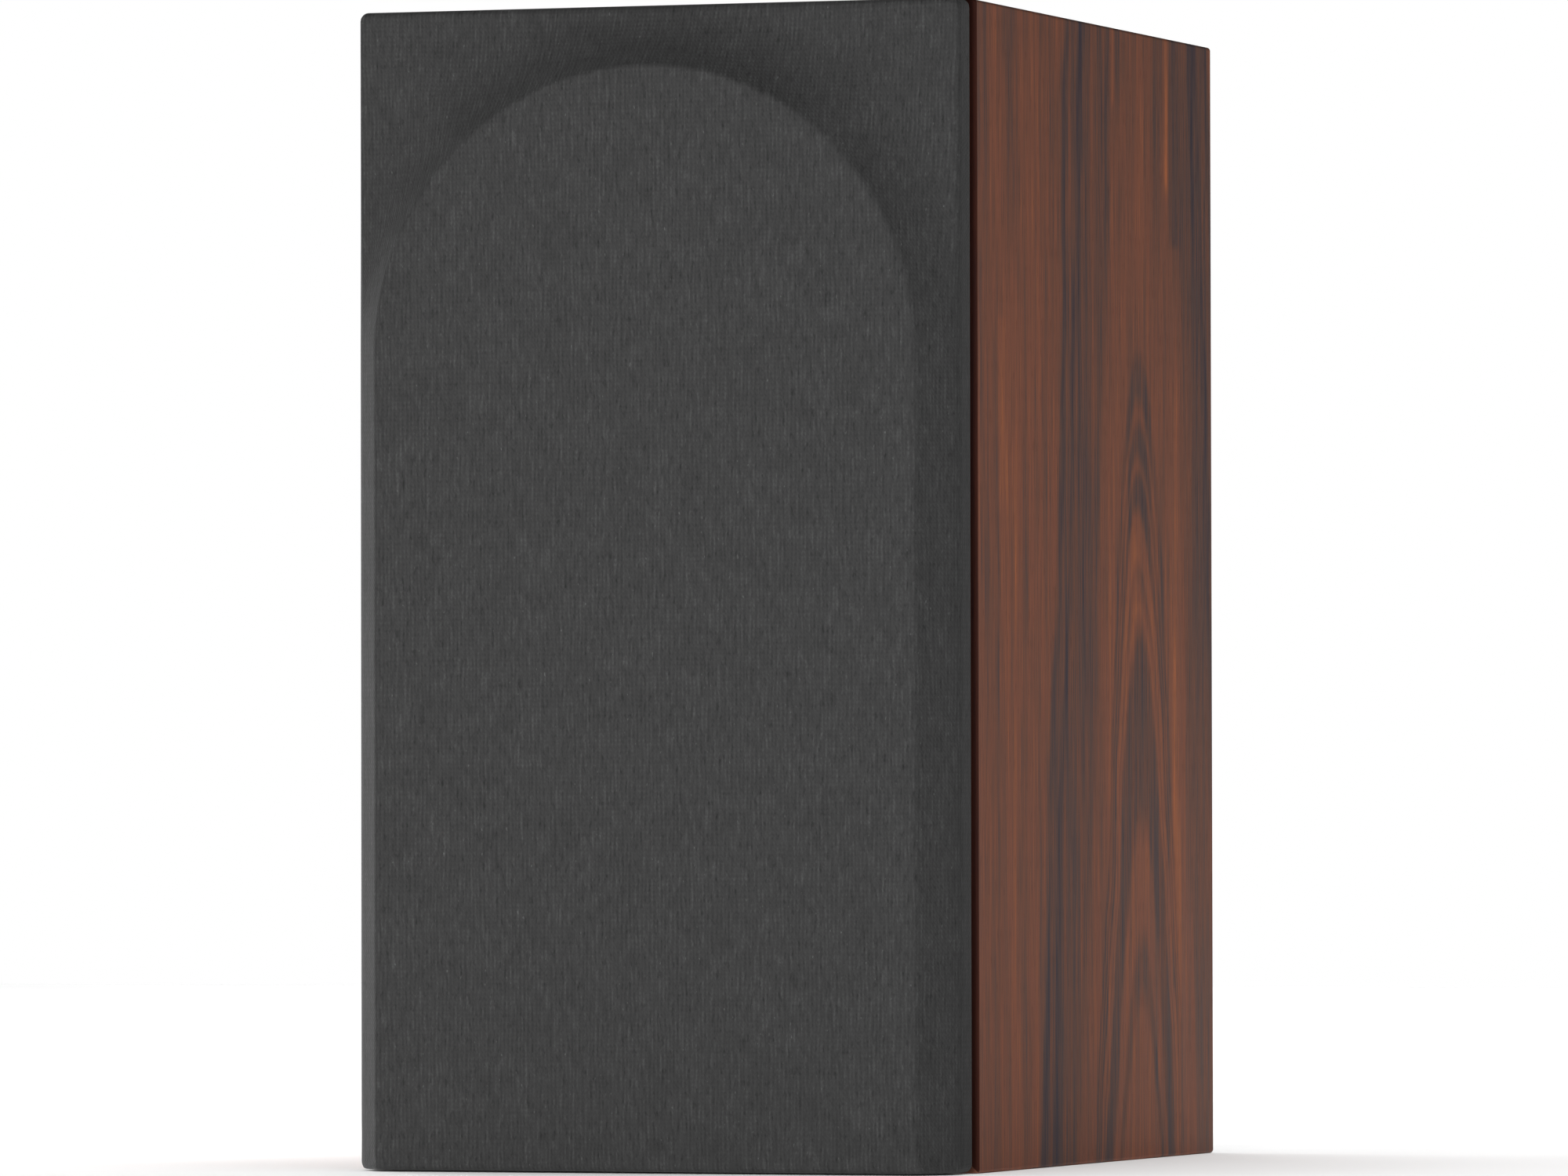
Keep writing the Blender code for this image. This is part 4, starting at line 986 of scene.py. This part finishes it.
def screw(node, place, head_radius, head, shank_radius, length, inward):
    """A flat-headed screw with a rolled thread, a point and a cross recess. Inward is its way along Y."""
    thread_pitch = 0.0012
    core = 0.8 * shank_radius
    profile = [(0, 0), (head_radius - 0.0004, 0), (head_radius, 0.0003), (head_radius, head), (core, head)]
    for i in range(int((length - head - 0.0035) / thread_pitch)):
        root = head + 0.0010 + thread_pitch * i
        profile.append((core, root))
        profile.append((shank_radius, root + 0.45 * thread_pitch))
        profile.append((shank_radius, root + 0.55 * thread_pitch))
    profile += [(core, length - 0.0025), (0.0003, length), (0, length)]
    bm = bmesh.new()
    revolve(bm, [(radius, inward * depth) for radius, depth in profile], 32, place)
    piece = detailed(bm, node)
    arm = 0.56 * head_radius
    slit = 0.13 * head_radius
    corners = []
    for quarter in range(4):
        turn = Matrix.Rotation(math.radians(37 * place.z / 0.01) - math.pi / 2 * quarter, 2)
        corners += [turn @ Vector(corner) for corner in ((slit, slit), (arm, slit), (arm, -slit))]
    loops = []
    for deep, share in ((-0.0010, 1.35), (0.8 * head, 0.62)):
        loops.append([place + Vector((c.x * share, inward * deep, c.y * share)) for c in corners])
    cross = bmesh.new()
    loft(cross, loops)
    carve(piece, cross)


def screws():
    wood = (SCREW_HEAD_RADIUS, SCREW_HEAD_DEPTH, SCREW_RADIUS, SCREW_LENGTH)
    terminal = (TERMINAL_HEAD_RADIUS, TERMINAL_HEAD_DEPTH, TERMINAL_SCREW_RADIUS, TERMINAL_SCREW_LENGTH)
    for stem, face_y, shape, inward in (
        ("woofer_screw", BAFFLE_Y + GAP, wood, 1),
        ("tweeter_screw", BAFFLE_Y + GAP, wood, 1),
        ("terminal_screw", CUP_FACE_Y, terminal, -1),
    ):
        for number, place in enumerate(four(stem, face_y), 1):
            screw(f"{stem}_{number}", place, *shape, inward)


# ---------------- woofer

FLANGE_HOLE = stepped_hole(SCREW_HEAD_RADIUS + GAP, SCREW_HEAD_DEPTH + GAP, SCREW_RADIUS + GAP, 0.008)
BASKET_WINDOWS = 6


def woofer_basket():
    """Flange with a raised bead, sloping spokes and rear ring in one casting."""
    front = mm((76, 0.8), (75.5, 0.3), (68, 0.3), (67.2, 0.3), (66, 1.2), (66, 2.5), (61.5, 2.5), (61.5, 9))
    seat = mm((40, 30), (40, 34), (34, 34), (34, 46), (20, 46), (20, 48.5), (36.5, 48.5), (36.5, 36.5))
    back = mm((42.5, 36.5), (42.5, 31.2), (64, 10.2), (64, 4.5), (76, 4.5))
    basket = turned("woofer_basket", front + seat + back, WOOFER, 160, 0.0006)
    carve_turned(basket, FLANGE_HOLE, four("woofer_screw", BAFFLE_Y), 48)
    windows = bmesh.new()
    flat = rounded_rectangle(ORIGIN, 0.018, 0.0075, 0.0035, 0, 5)
    for i in range(BASKET_WINDOWS):
        turn = Matrix.Rotation(FULL_TURN * (i + 0.5) / BASKET_WINDOWS, 4, "Y")
        place = Matrix.Translation(WOOFER + Vector((0, 0.0205, 0))) @ turn
        loft(windows, [[place @ Vector((reach, p.z, p.x)) for p in flat] for reach in (0.034, 0.072)])
    carve(basket, windows)


def woofer_motor():
    """Front plate, ferrite ring, and the yoke whose vented pole stands inside the voice coil."""
    yoke = mm((4, 50), (5, 49), (12, 49), (12, 69.4), (40, 69.4), (40, 73.2), (38.5, 74.4), (8, 74.4), (4, 72))
    turned("woofer_front_plate", tube(0.0142, 0.0370, 0.0488, 0.0538), WOOFER, 128, 0.0005)
    turned("woofer_magnet", tube(0.0200, 0.0430, 0.0541, 0.0691), WOOFER, 128, 0.0012)
    turned("woofer_yoke", yoke, WOOFER, 128, 0.0005)


def half_roll(middle, radius, depth, steps):
    """Points of a half circle that bulges forward, from its outer to its inner edge."""
    angles = [math.pi * share for share in shares(steps)]
    return [(middle + radius * math.cos(a), depth - radius * math.sin(a)) for a in angles]


def behind(front, thickness):
    """The front's points in reverse, moved back by thickness."""
    return [(radius, depth + thickness) for radius, depth in reversed(front)]


def ring_of_sectors(node, profile, place, sectors, facets):
    """A flexible ring in closed sectors, each made as a piece of its own with no body."""
    for number in range(sectors):
        turn = (FULL_TURN * number / sectors, FULL_TURN * (number + 1) / sectors)
        bm = bmesh.new()
        revolve(bm, profile, facets, place, turn=turn)
        stands_for = [node] if number == 0 else []
        piece = piece_from(bm, f"{node}_sector_{number + 1}", None, SLOTS[node], stands_for)
        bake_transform(piece)


def woofer_surround():
    """Rubber half roll between the basket's ledge and the cone's rim."""
    thickness = 0.0008
    depth = 0.0014
    front = [(0.0657, depth), (0.0615, depth), *half_roll(0.0559, 0.0050, depth, 20), (0.0470, depth)]
    roll = half_roll(0.0559, 0.0050 - thickness, depth, 20)
    back = behind([(0.0657, depth), (0.0615, depth), *roll, (0.0470, depth)], thickness)
    ring_of_sectors("woofer_surround", front + back, WOOFER, 24, 6)


def woofer_spider():
    """Pleated centring cloth between the basket's inner ledge and the voice coil."""
    pleats = 2.5
    front = []
    for share in shares(60):
        wave = 0.5 - 0.5 * math.cos(FULL_TURN * pleats * share)
        front.append((0.0132 + 0.0208 * share, 0.0331 - 0.0022 * wave))
    front.append((0.0397, 0.0309))
    profile = front + behind(front, 0.0006)
    ring_of_sectors("woofer_spider", profile, WOOFER, 16, 8)


def woofer_cone():
    """Paper cone, steeper towards the neck, with a flat rim under the surround and one stiffening bead."""
    front = [(0.0506, 0.0025)]
    for share in shares(40):
        bead = 0.0004 * math.exp(-(((share - 0.45) / 0.025) ** 2))
        front.append((0.0468 - 0.0336 * share, 0.0025 + 0.0255 * share**1.15 - bead))
    turned("woofer_cone", front + behind(front, 0.0010), WOOFER, 160, 0)


def dome(radius, rise, edge_depth, steps, thickness):
    """Front and back points of a shallow dome that bulges forward, each from its middle to its edge."""
    sphere = (radius**2 + rise**2) / (2 * rise)
    front = []
    for reach in (radius * share for share in shares(steps)):
        front.append((reach, edge_depth - rise + sphere - math.sqrt(sphere**2 - reach**2)))
    return front, [(reach * (1 - thickness / radius), depth + thickness) for reach, depth in front]


def woofer_dust_cap():
    """Shallow dome over the cone's neck, with a glued lip."""
    front, back = dome(0.0175, 0.0065, 0.0239, 16, 0.0008)
    turned("woofer_dust_cap", [*front, (0.0167, 0.0239), *reversed(back[:-1])], WOOFER, 96, 0)


def woofer_voice_coil():
    """Thin former with the winding around its rear end, as one piece of revolution."""
    turns = 30
    pitch = 0.0100 / turns
    coil = mm((12.5, 25.5), (12.9, 25.5), (12.9, 47))
    for at in spread(0.0470, 0.0570, turns):
        coil += [(0.01345, at + 0.1 * pitch), (0.0137, at + 0.35 * pitch), (0.0137, at + 0.65 * pitch)]
    turned("woofer_voice_coil", coil + mm((13.45, 57), (12.5, 57)), WOOFER, 96, 0)


# ---------------- tweeter


def tweeter_faceplate():
    """Round plate with a shallow waveguide down to the dome."""
    waveguide = [(0.0262 - 0.0094 * share, 0.0003 + 0.0032 * share**2) for share in shares(12)]
    profile = [*mm((48, 1), (47.2, 0.3)), *waveguide, *mm((16.5, 4.3), (48, 4.3))]
    plate = turned("tweeter_faceplate", profile, TWEETER, 160, 0.0003)
    carve_turned(plate, FLANGE_HOLE, four("tweeter_screw", BAFFLE_Y), 48)


def tweeter_dome():
    """Soft dome with its voice coil former as a skirt."""
    front, back = dome(0.0125, 0.0043, 0.0045, 24, 0.0004)
    skirt = mm((12.5, 10), (12.1, 10))
    turned("tweeter_dome", [*front, *skirt, *reversed(back)], TWEETER, 96, 0)


def tweeter_surround():
    """Narrow cloth roll between the dome and the faceplate."""
    thickness = 0.0004
    front = half_roll(0.0145, 0.0017, 0.0041, 14)
    back = behind(half_roll(0.0145, 0.0017 - thickness, 0.0041, 14), thickness)
    ring_of_sectors("tweeter_surround", front + back, TWEETER, 16, 6)


def tweeter_motor():
    """Ferrite ring on the back of the faceplate, and a yoke with its pole inside the voice coil."""
    yoke = mm((0, 6.2), (11.4, 6.2), (11.4, 17.1), (30, 17.1), (30, 21.1), (0, 21.1))
    turned("tweeter_magnet", tube(0.0131, TWEETER_MAGNET_RADIUS, 0.0048, 0.0168), TWEETER, 96, 0.0010)
    turned("tweeter_yoke", yoke, TWEETER, 96, 0.0005)


# ---------------- rear fittings

CUP_FLOOR_HALF = (0.0290, 0.0180)
CUP_MOUTH_HALF = (0.0335, 0.0225)
CUP_FLANGE_HALF = (0.0420, 0.0310)
CUP_WALL = 0.0020
STUD_RADIUS = 0.0026
SIGN_ASIDE = 0.0135
SIGN_HALF_LENGTH = 0.0022
SIGN_HALF_WIDTH = 0.0005
SIGN_HEIGHT = 0.0005


def port_tube():
    """Reflex tube, flared at its mouth, with a rounded lip on the back."""
    bore = mm((22, -108), (22, -22))
    flare = [(0.0220 + 0.0090 * across, 0.0028 - 0.0220 * inset) for inset, across in eased(1, 16)[1:]]
    lip = mm((35, 2.8), (36.2, 1.8), (36.2, 0.3), (30, 0.3))
    outside = mm((30, -4), (25.8, -14), (24.7, -22), (24.7, -108))
    turned("port_tube", bore + flare + lip + outside, PORT, 128, 0.0005)


def sign_bar(bm, place, half_width, half_height):
    """One bar of a raised plus or minus sign, on the cup's floor."""
    loops = []
    for lift, taper in ((-0.0003, 1.0), (0.7 * SIGN_HEIGHT, 1.0), (SIGN_HEIGHT, 0.82)):
        size = (half_width * taper, half_height * taper, 0.45 * SIGN_HALF_WIDTH * taper)
        loops.append(rounded_rectangle(place, *size, CUP_FLOOR_Y + lift, 3))
    loft(bm, loops)


def terminal_cup():
    """Moulded cup sunk in the back: rounded flange, sloping walls and a floor for the two posts."""
    lip = [(0.0002 - depth, CUP_FACE_Y - inset) for inset, depth in eased(0.0012, 5)]
    edge = [(inset, CUP_FACE_Y - depth) for inset, depth in eased(0.0008, 4)]
    behind_flange = REAR_HIGH.y + GAP
    behind_floor = CUP_FLOOR_Y - CUP_WALL
    loops = outlines(CUP, *CUP_FLOOR_HALF, 0.0040, [(0, CUP_FLOOR_Y), (-0.0004, CUP_FLOOR_Y + 0.0005)])
    loops += outlines(CUP, *CUP_MOUTH_HALF, 0.0060, lip)
    loops += outlines(CUP, *CUP_FLANGE_HALF, 0.0040, [*edge, (0, behind_flange)])
    for (half_width, half_height), corner, y in (
        (CUP_MOUTH_HALF, 0.0070, behind_flange),
        (CUP_FLOOR_HALF, 0.0050, behind_floor),
    ):
        loops.append(rounded_rectangle(CUP, half_width + CUP_WALL, half_height + CUP_WALL, corner, y))
    bm = bmesh.new()
    loft(bm, loops)
    cup = detailed(bm, "terminal_cup")
    studs = [on_face(f"{side}_post_stud", CUP_FLOOR_Y) for side in ("red", "black")]
    carve_turned(cup, tube(0, STUD_RADIUS + GAP, -0.005, 0.005), studs, 48)
    head = TERMINAL_HEAD_DEPTH + GAP
    hole = tube(0, TERMINAL_SCREW_RADIUS + GAP, -0.006, -head)[:3]
    hole += tube(0, TERMINAL_HEAD_RADIUS + GAP, -head, 0.002)[1:]
    carve_turned(cup, hole, four("terminal_screw", CUP_FACE_Y), 48)
    red, black = studs
    aside = Vector((math.copysign(SIGN_ASIDE, red.x - black.x), 0, 0))
    level = bmesh.new()
    sign_bar(level, red + aside, SIGN_HALF_LENGTH, SIGN_HALF_WIDTH)
    sign_bar(level, black - aside, SIGN_HALF_LENGTH, SIGN_HALF_WIDTH)
    piece_from(level, "terminal_signs_level", "cabinet", SLOTS["terminal_cup"])
    upright = bmesh.new()
    sign_bar(upright, red + aside, SIGN_HALF_WIDTH, SIGN_HALF_LENGTH)
    piece_from(upright, "terminal_sign_upright", "cabinet", SLOTS["terminal_cup"])


def binding_posts():
    """Threaded studs, plain inserts and fluted caps, one red and one black."""
    pitch = 0.0008
    stud = mm((0, -13), (2.2, -13))
    for i in range(14):
        stud += [(0.0022, -0.0128 + pitch * i), (STUD_RADIUS, -0.0128 + pitch * (i + 0.5))]
    stud += mm((2.6, 0.3), (5.5, 0.3), (5.5, 2.3), (2.6, 2.3))
    for i in range(12):
        stud += [(STUD_RADIUS, 0.0028 + pitch * i), (0.0023, 0.0028 + pitch * (i + 0.5))]
    stud += mm((2.6, 13), (2.1, 13.5), (0, 13.5))
    cap = mm((4.8, 3), (6.6, 3), (7, 4), (7, 16), (6, 17.2), (2.3, 17.2), (2.3, 15.3), (4.8, 15.3))
    for side in ("red", "black"):
        place = on_face(f"{side}_post_stud", CUP_FLOOR_Y)
        turned(f"{side}_post_stud", stud, place, 48, 0)
        turned(f"{side}_post_insert", tube(0.0029, 0.0045, 0.0028, 0.0150), place, 64, 0.0002)
        turned(f"{side}_post_cap", cap, place, 144, 0.0004, flutes=18, flute_depth=0.0004)


# ---------------- crossover, leads and foam

WIRE = 0.0009
LEAD_RADIUS = 0.0020


def wound(inner, outer, start, end):
    """Profile of a winding: round wires side by side on its outer face and both ends."""
    inset = 0.35 * WIRE
    low = start + inset
    high = end - inset
    edge = outer - inset
    profile = []
    for first, last, bulge in (
        ((inner, low), (edge, low), (0, -1)),
        ((edge, low), (edge, high), (1, 0)),
        ((edge, high), (inner, high), (0, 1)),
    ):
        first = Vector(first)
        last = Vector(last)
        count = max(1, round((last - first).length / WIRE))
        for i in range(count):
            for share, lift in ((0.0, 0.0), (0.25, 0.8), (0.5, 1.0), (0.75, 0.8)):
                profile.append(first.lerp(last, (i + share) / count) + Vector(bulge) * lift * inset)
    return [*profile, (inner, high)]


def laid_down(node, profile, middle, axis, degrees, crease=CREASE):
    """A piece turned about the Y axis, and then swung about another axis to stand or lie at middle."""
    bm = bmesh.new()
    revolve(bm, profile, 96, ORIGIN)
    swing = Matrix.Translation(middle) @ Matrix.Rotation(math.radians(degrees), 4, axis)
    bmesh.ops.transform(bm, matrix=swing, verts=bm.verts)
    detailed(bm, node, crease)


def crossover():
    """Board with its two wound inductors and a wrapped film capacitor."""
    low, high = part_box("crossover_board")
    middle = (low + high) / 2
    half = (high - low) / 2
    loops = []
    for inset, z in ((0.0002, low.z), (0, low.z + 0.0002), (0, high.z - 0.0002), (0.0002, high.z)):
        flat = rounded_rectangle(ORIGIN, half.x - inset, half.y - inset, 0.0020, 0)
        loops.append([Vector((middle.x + point.x, middle.y + point.z, z)) for point in flat])
    bm = bmesh.new()
    loft(bm, loops)
    detailed(bm, "crossover_board")
    for node, inner, outer in (("bass_inductor", 0.0080, 0.0180), ("treble_inductor", 0.0060, 0.0130)):
        low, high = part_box(node)
        foot = Vector(((low.x + high.x) / 2, (low.y + high.y) / 2, 0))
        laid_down(node, wound(inner, outer, low.z, high.z), foot, "X", 90, 60)
    low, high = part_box("crossover_capacitor")
    radius = (high.z - low.z) / 2
    length = (high.x - low.x) / 2
    half_can = [(radius, length - 0.0018), (radius - 0.0003, length - 0.0006), (radius - 0.0016, length)]
    half_can += [(radius - 0.0022, length - 0.0004), (0, length - 0.0004)]
    can = [(reach, -along) for reach, along in reversed(half_can)] + half_can
    laid_down("crossover_capacitor", can, (low + high) / 2, "Z", -90)


def smooth_path(points, steps):
    """Points along a Catmull-Rom curve through the given points."""
    points = [Vector(point) for point in points]
    guide = [2 * points[0] - points[1], *points, 2 * points[-1] - points[-2]]
    path = []
    for a, b, c, d in zip(guide, guide[1:], guide[2:], guide[3:]):
        for t in spread(0, 1, steps):
            near = 2 * b + (c - a) * t
            far = (2 * a - 5 * b + 4 * c - d) * t**2 + (3 * b - a - 3 * c + d) * t**3
            path.append((near + far) / 2)
    return [*path, points[-1]]


def framed(path):
    """Each point of a path with two directions across it, which don't twist along the way."""
    side = Vector((1, 0, 0))
    for i, point in enumerate(path):
        ahead = (path[min(i + 1, len(path) - 1)] - path[max(i - 1, 0)]).normalized()
        side = (side - ahead * side.dot(ahead)).normalized()
        yield point, side, ahead.cross(side)


def tube_along(bm, path, radius, facets):
    """A closed tube with narrower ends along a path."""
    loops = []
    for point, side, up in framed(path):
        size = 0.55 * radius if point in (path[0], path[-1]) else radius
        angles = spread(0, FULL_TURN, facets)
        loops.append([point + (side * math.cos(a) + up * math.sin(a)) * size for a in angles])
    loft(bm, loops)


def twisted_pair(node, points):
    """Two insulated wires wound about each other, within the room of one lead."""
    twist_length = 0.018
    wire_radius = 0.5 * LEAD_RADIUS
    path = smooth_path(points, 24)
    bm = bmesh.new()
    for phase in (0, math.pi):
        travelled = 0.0
        before = path[0]
        strand = []
        for point, side, up in framed(path):
            travelled += (point - before).length
            before = point
            angle = FULL_TURN * travelled / twist_length + phase
            strand.append(point + (side * math.cos(angle) + up * math.sin(angle)) * wire_radius)
        tube_along(bm, strand, wire_radius * 0.98, 12)
    detailed(bm, node)


def leads():
    """Pairs of wires from the terminals to the board and from the board to both drive units."""
    to_board = mm((0, 108.6, 88), (0, 99.2, 87), (-6, 88, 62), (-28, 68, 30), (-30, 64, 18.8))
    to_woofer = mm((-38, 52, 18.8), (-38, 48, 32), (-30, 10, 62), (-12, -38, 90), (-2, -68, 108), (0, -70, 120))
    to_tweeter = mm((40, 50, 18.8), (40, 48, 35), (56, 40, 90), (60, 15, 170), (40, -20, 235), (10, -70, 250))
    twisted_pair("input_lead", to_board)
    twisted_pair("woofer_lead", to_woofer)
    twisted_pair("tweeter_lead", to_tweeter + mm((0, -92, 256)))


def damping_foam():
    """A sheet of egg-crate foam on the side wall, with rounded peaks towards the middle."""
    low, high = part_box("damping_foam")
    pitch = FULL_TURN / 0.0165

    def hollow(y, z):
        """How far the face lies below its peaks at one place."""
        wave = math.sin(pitch * (y - low.y)) * math.sin(pitch * (z - low.z))
        fade = min(min(y - low.y, high.y - y, z - low.z, high.z - z) / 0.006, 1.0)
        return 0.005 * (0.5 - 0.5 * wave * fade) * (0.35 + 0.65 * fade) + 0.003 * (1 - fade) ** 2

    heights = [low.z + (high.z - low.z) * share for share in shares(240)]
    loops = []
    for y in (low.y + (high.y - low.y) * share for share in shares(116)):
        room = [Vector((high.x - hollow(y, z), y, z)) for z in reversed(heights)]
        loops.append([Vector((low.x, y, z)) for z in heights] + room)
    bm = bmesh.new()
    loft(bm, loops)
    foam = detailed(bm, "damping_foam", 50)


# ---------------- camera, floor and light

CAMERA_AZIMUTH = 19.385
CAMERA_ELEVATION = -1.173
CAMERA_ROLL = -0.116
CAMERA_DISTANCE = 10.108 * HEIGHT
CAMERA_ASIDE = 0.0935 * HEIGHT
CAMERA_HEIGHT = 0.5004 * HEIGHT
CAMERA_LENS = 270.5
FLOOR_HALF = 4.0
FLOOR_POWER = 300
FLOOR_LIGHT_Y = 2.1
AMBIENT = 0.10
# name, azimuth and elevation in degrees, distance, width, height and power
LAMPS = (
    ("front_key", -4, 0, 2.2, 1.2, 0.36, 30.5),
    ("low_left", -111, -13, 0.55, 0.22, 0.10, 1.33),
    ("right_fill", 80, 0, 2.2, 1.2, 1.2, 3.0),
)


def away(azimuth, elevation):
    """The direction from the speaker to a place. Azimuth 0 is in front and 90 to the right."""
    a = math.radians(azimuth)
    e = math.radians(elevation)
    return Vector((math.sin(a) * math.cos(e), -math.cos(a) * math.cos(e), math.sin(e)))


def make_camera():
    """A long lens a little to the right of the front and just below the middle."""
    back = away(CAMERA_AZIMUTH, CAMERA_ELEVATION)
    across = away(CAMERA_AZIMUTH + 90, 0)
    upward = back.cross(across)
    roll = math.radians(CAMERA_ROLL)
    right = across * math.cos(roll) + upward * math.sin(roll)
    up = upward * math.cos(roll) - across * math.sin(roll)
    place = back * CAMERA_DISTANCE + right * CAMERA_ASIDE + up * CAMERA_HEIGHT + Vector((0, LIP_Y, 0))
    camera = placed("camera", bpy.data.cameras.new("camera"))
    camera.data.lens = CAMERA_LENS
    camera.data.clip_start = 0.05
    camera.data.clip_end = 50
    camera.matrix_world = Matrix.Translation(place) @ Matrix((right, up, back)).transposed().to_4x4()
    bpy.context.scene.camera = camera


def make_floor():
    bm = bmesh.new()
    corners = [(x * FLOOR_HALF, y * FLOOR_HALF, 0) for x, y in ((-1, -1), (1, -1), (1, 1), (-1, 1))]
    bm.faces.new([bm.verts.new(corner) for corner in corners])
    floor = placed("floor", mesh_from(bm, "floor"))
    finish = Finish("pale_floor", specular_ior_level=0.0)
    mottle = finish.noise(finish.place(), 6)
    colour = finish.ramp(mottle, [(0.3, (246, 246, 246)), (0.7, (250, 250, 250))])
    floor.data.materials.append(finish.wear(colour, finish.levels(mottle, 0.3, 0.7, 0.9, 1.0)))
    return floor


def soft_box(name, azimuth, elevation, distance, width, height, power):
    """A rectangular lamp that looks at the middle of the speaker."""
    back = away(azimuth, elevation)
    box = placed(name, bpy.data.lights.new(name, "AREA"))
    box.data.shape = "RECTANGLE"
    box.data.size = width
    box.data.size_y = height
    box.data.energy = power
    box.location = MIDDLE + back * distance
    box.rotation_mode = "QUATERNION"
    box.rotation_quaternion = back.to_track_quat("Z", "Y")
    box.visible_camera = False
    return box


def light_room(floor):
    """White backdrop for the camera, dim even light for the rest, and soft boxes."""
    world = bpy.data.worlds.new("studio")
    world.use_nodes = True
    tree = world.node_tree
    dim = tree.nodes["Background"]
    shown = tree.nodes.new("ShaderNodeBackground")
    for background in (dim, shown):
        background.inputs["Color"].default_value = (1, 1, 1, 1)
    dim.inputs["Strength"].default_value = AMBIENT
    path = tree.nodes.new("ShaderNodeLightPath")
    choose = tree.nodes.new("ShaderNodeMixShader")
    tree.links.new(path.outputs["Is Camera Ray"], choose.inputs[0])
    tree.links.new(dim.outputs[0], choose.inputs[1])
    tree.links.new(shown.outputs[0], choose.inputs[2])
    tree.links.new(choose.outputs[0], tree.nodes["World Output"].inputs["Surface"])
    bpy.context.scene.world = world
    for lamp in LAMPS:
        soft_box(*lamp)
    overhead = soft_box("floor_light", 0, 90, 2.4, 8, 8, FLOOR_POWER)
    overhead.location.y = FLOOR_LIGHT_Y
    floor_only = bpy.data.collections.new("floor_light")
    floor_only.objects.link(floor)
    overhead.light_linking.receiver_collection = floor_only


# ---------------- put it together

for node, slot in SLOTS.items():
    frame["nodes"][node].data.materials.clear()
    frame["nodes"][node].data.materials.append(finishes[slot])
cabinet_sleeve()
grille_frame()
grille_cloth()
grille_pegs()
front_baffle()
rear_panel()
grille_sockets()
screws()
woofer_basket()
woofer_motor()
woofer_surround()
woofer_spider()
woofer_cone()
woofer_dust_cap()
woofer_voice_coil()
tweeter_faceplate()
tweeter_dome()
tweeter_surround()
tweeter_motor()
port_tube()
terminal_cup()
binding_posts()
crossover()
leads()
damping_foam()
make_camera()
light_room(make_floor())
bpy.context.scene.view_settings.view_transform = "Standard"
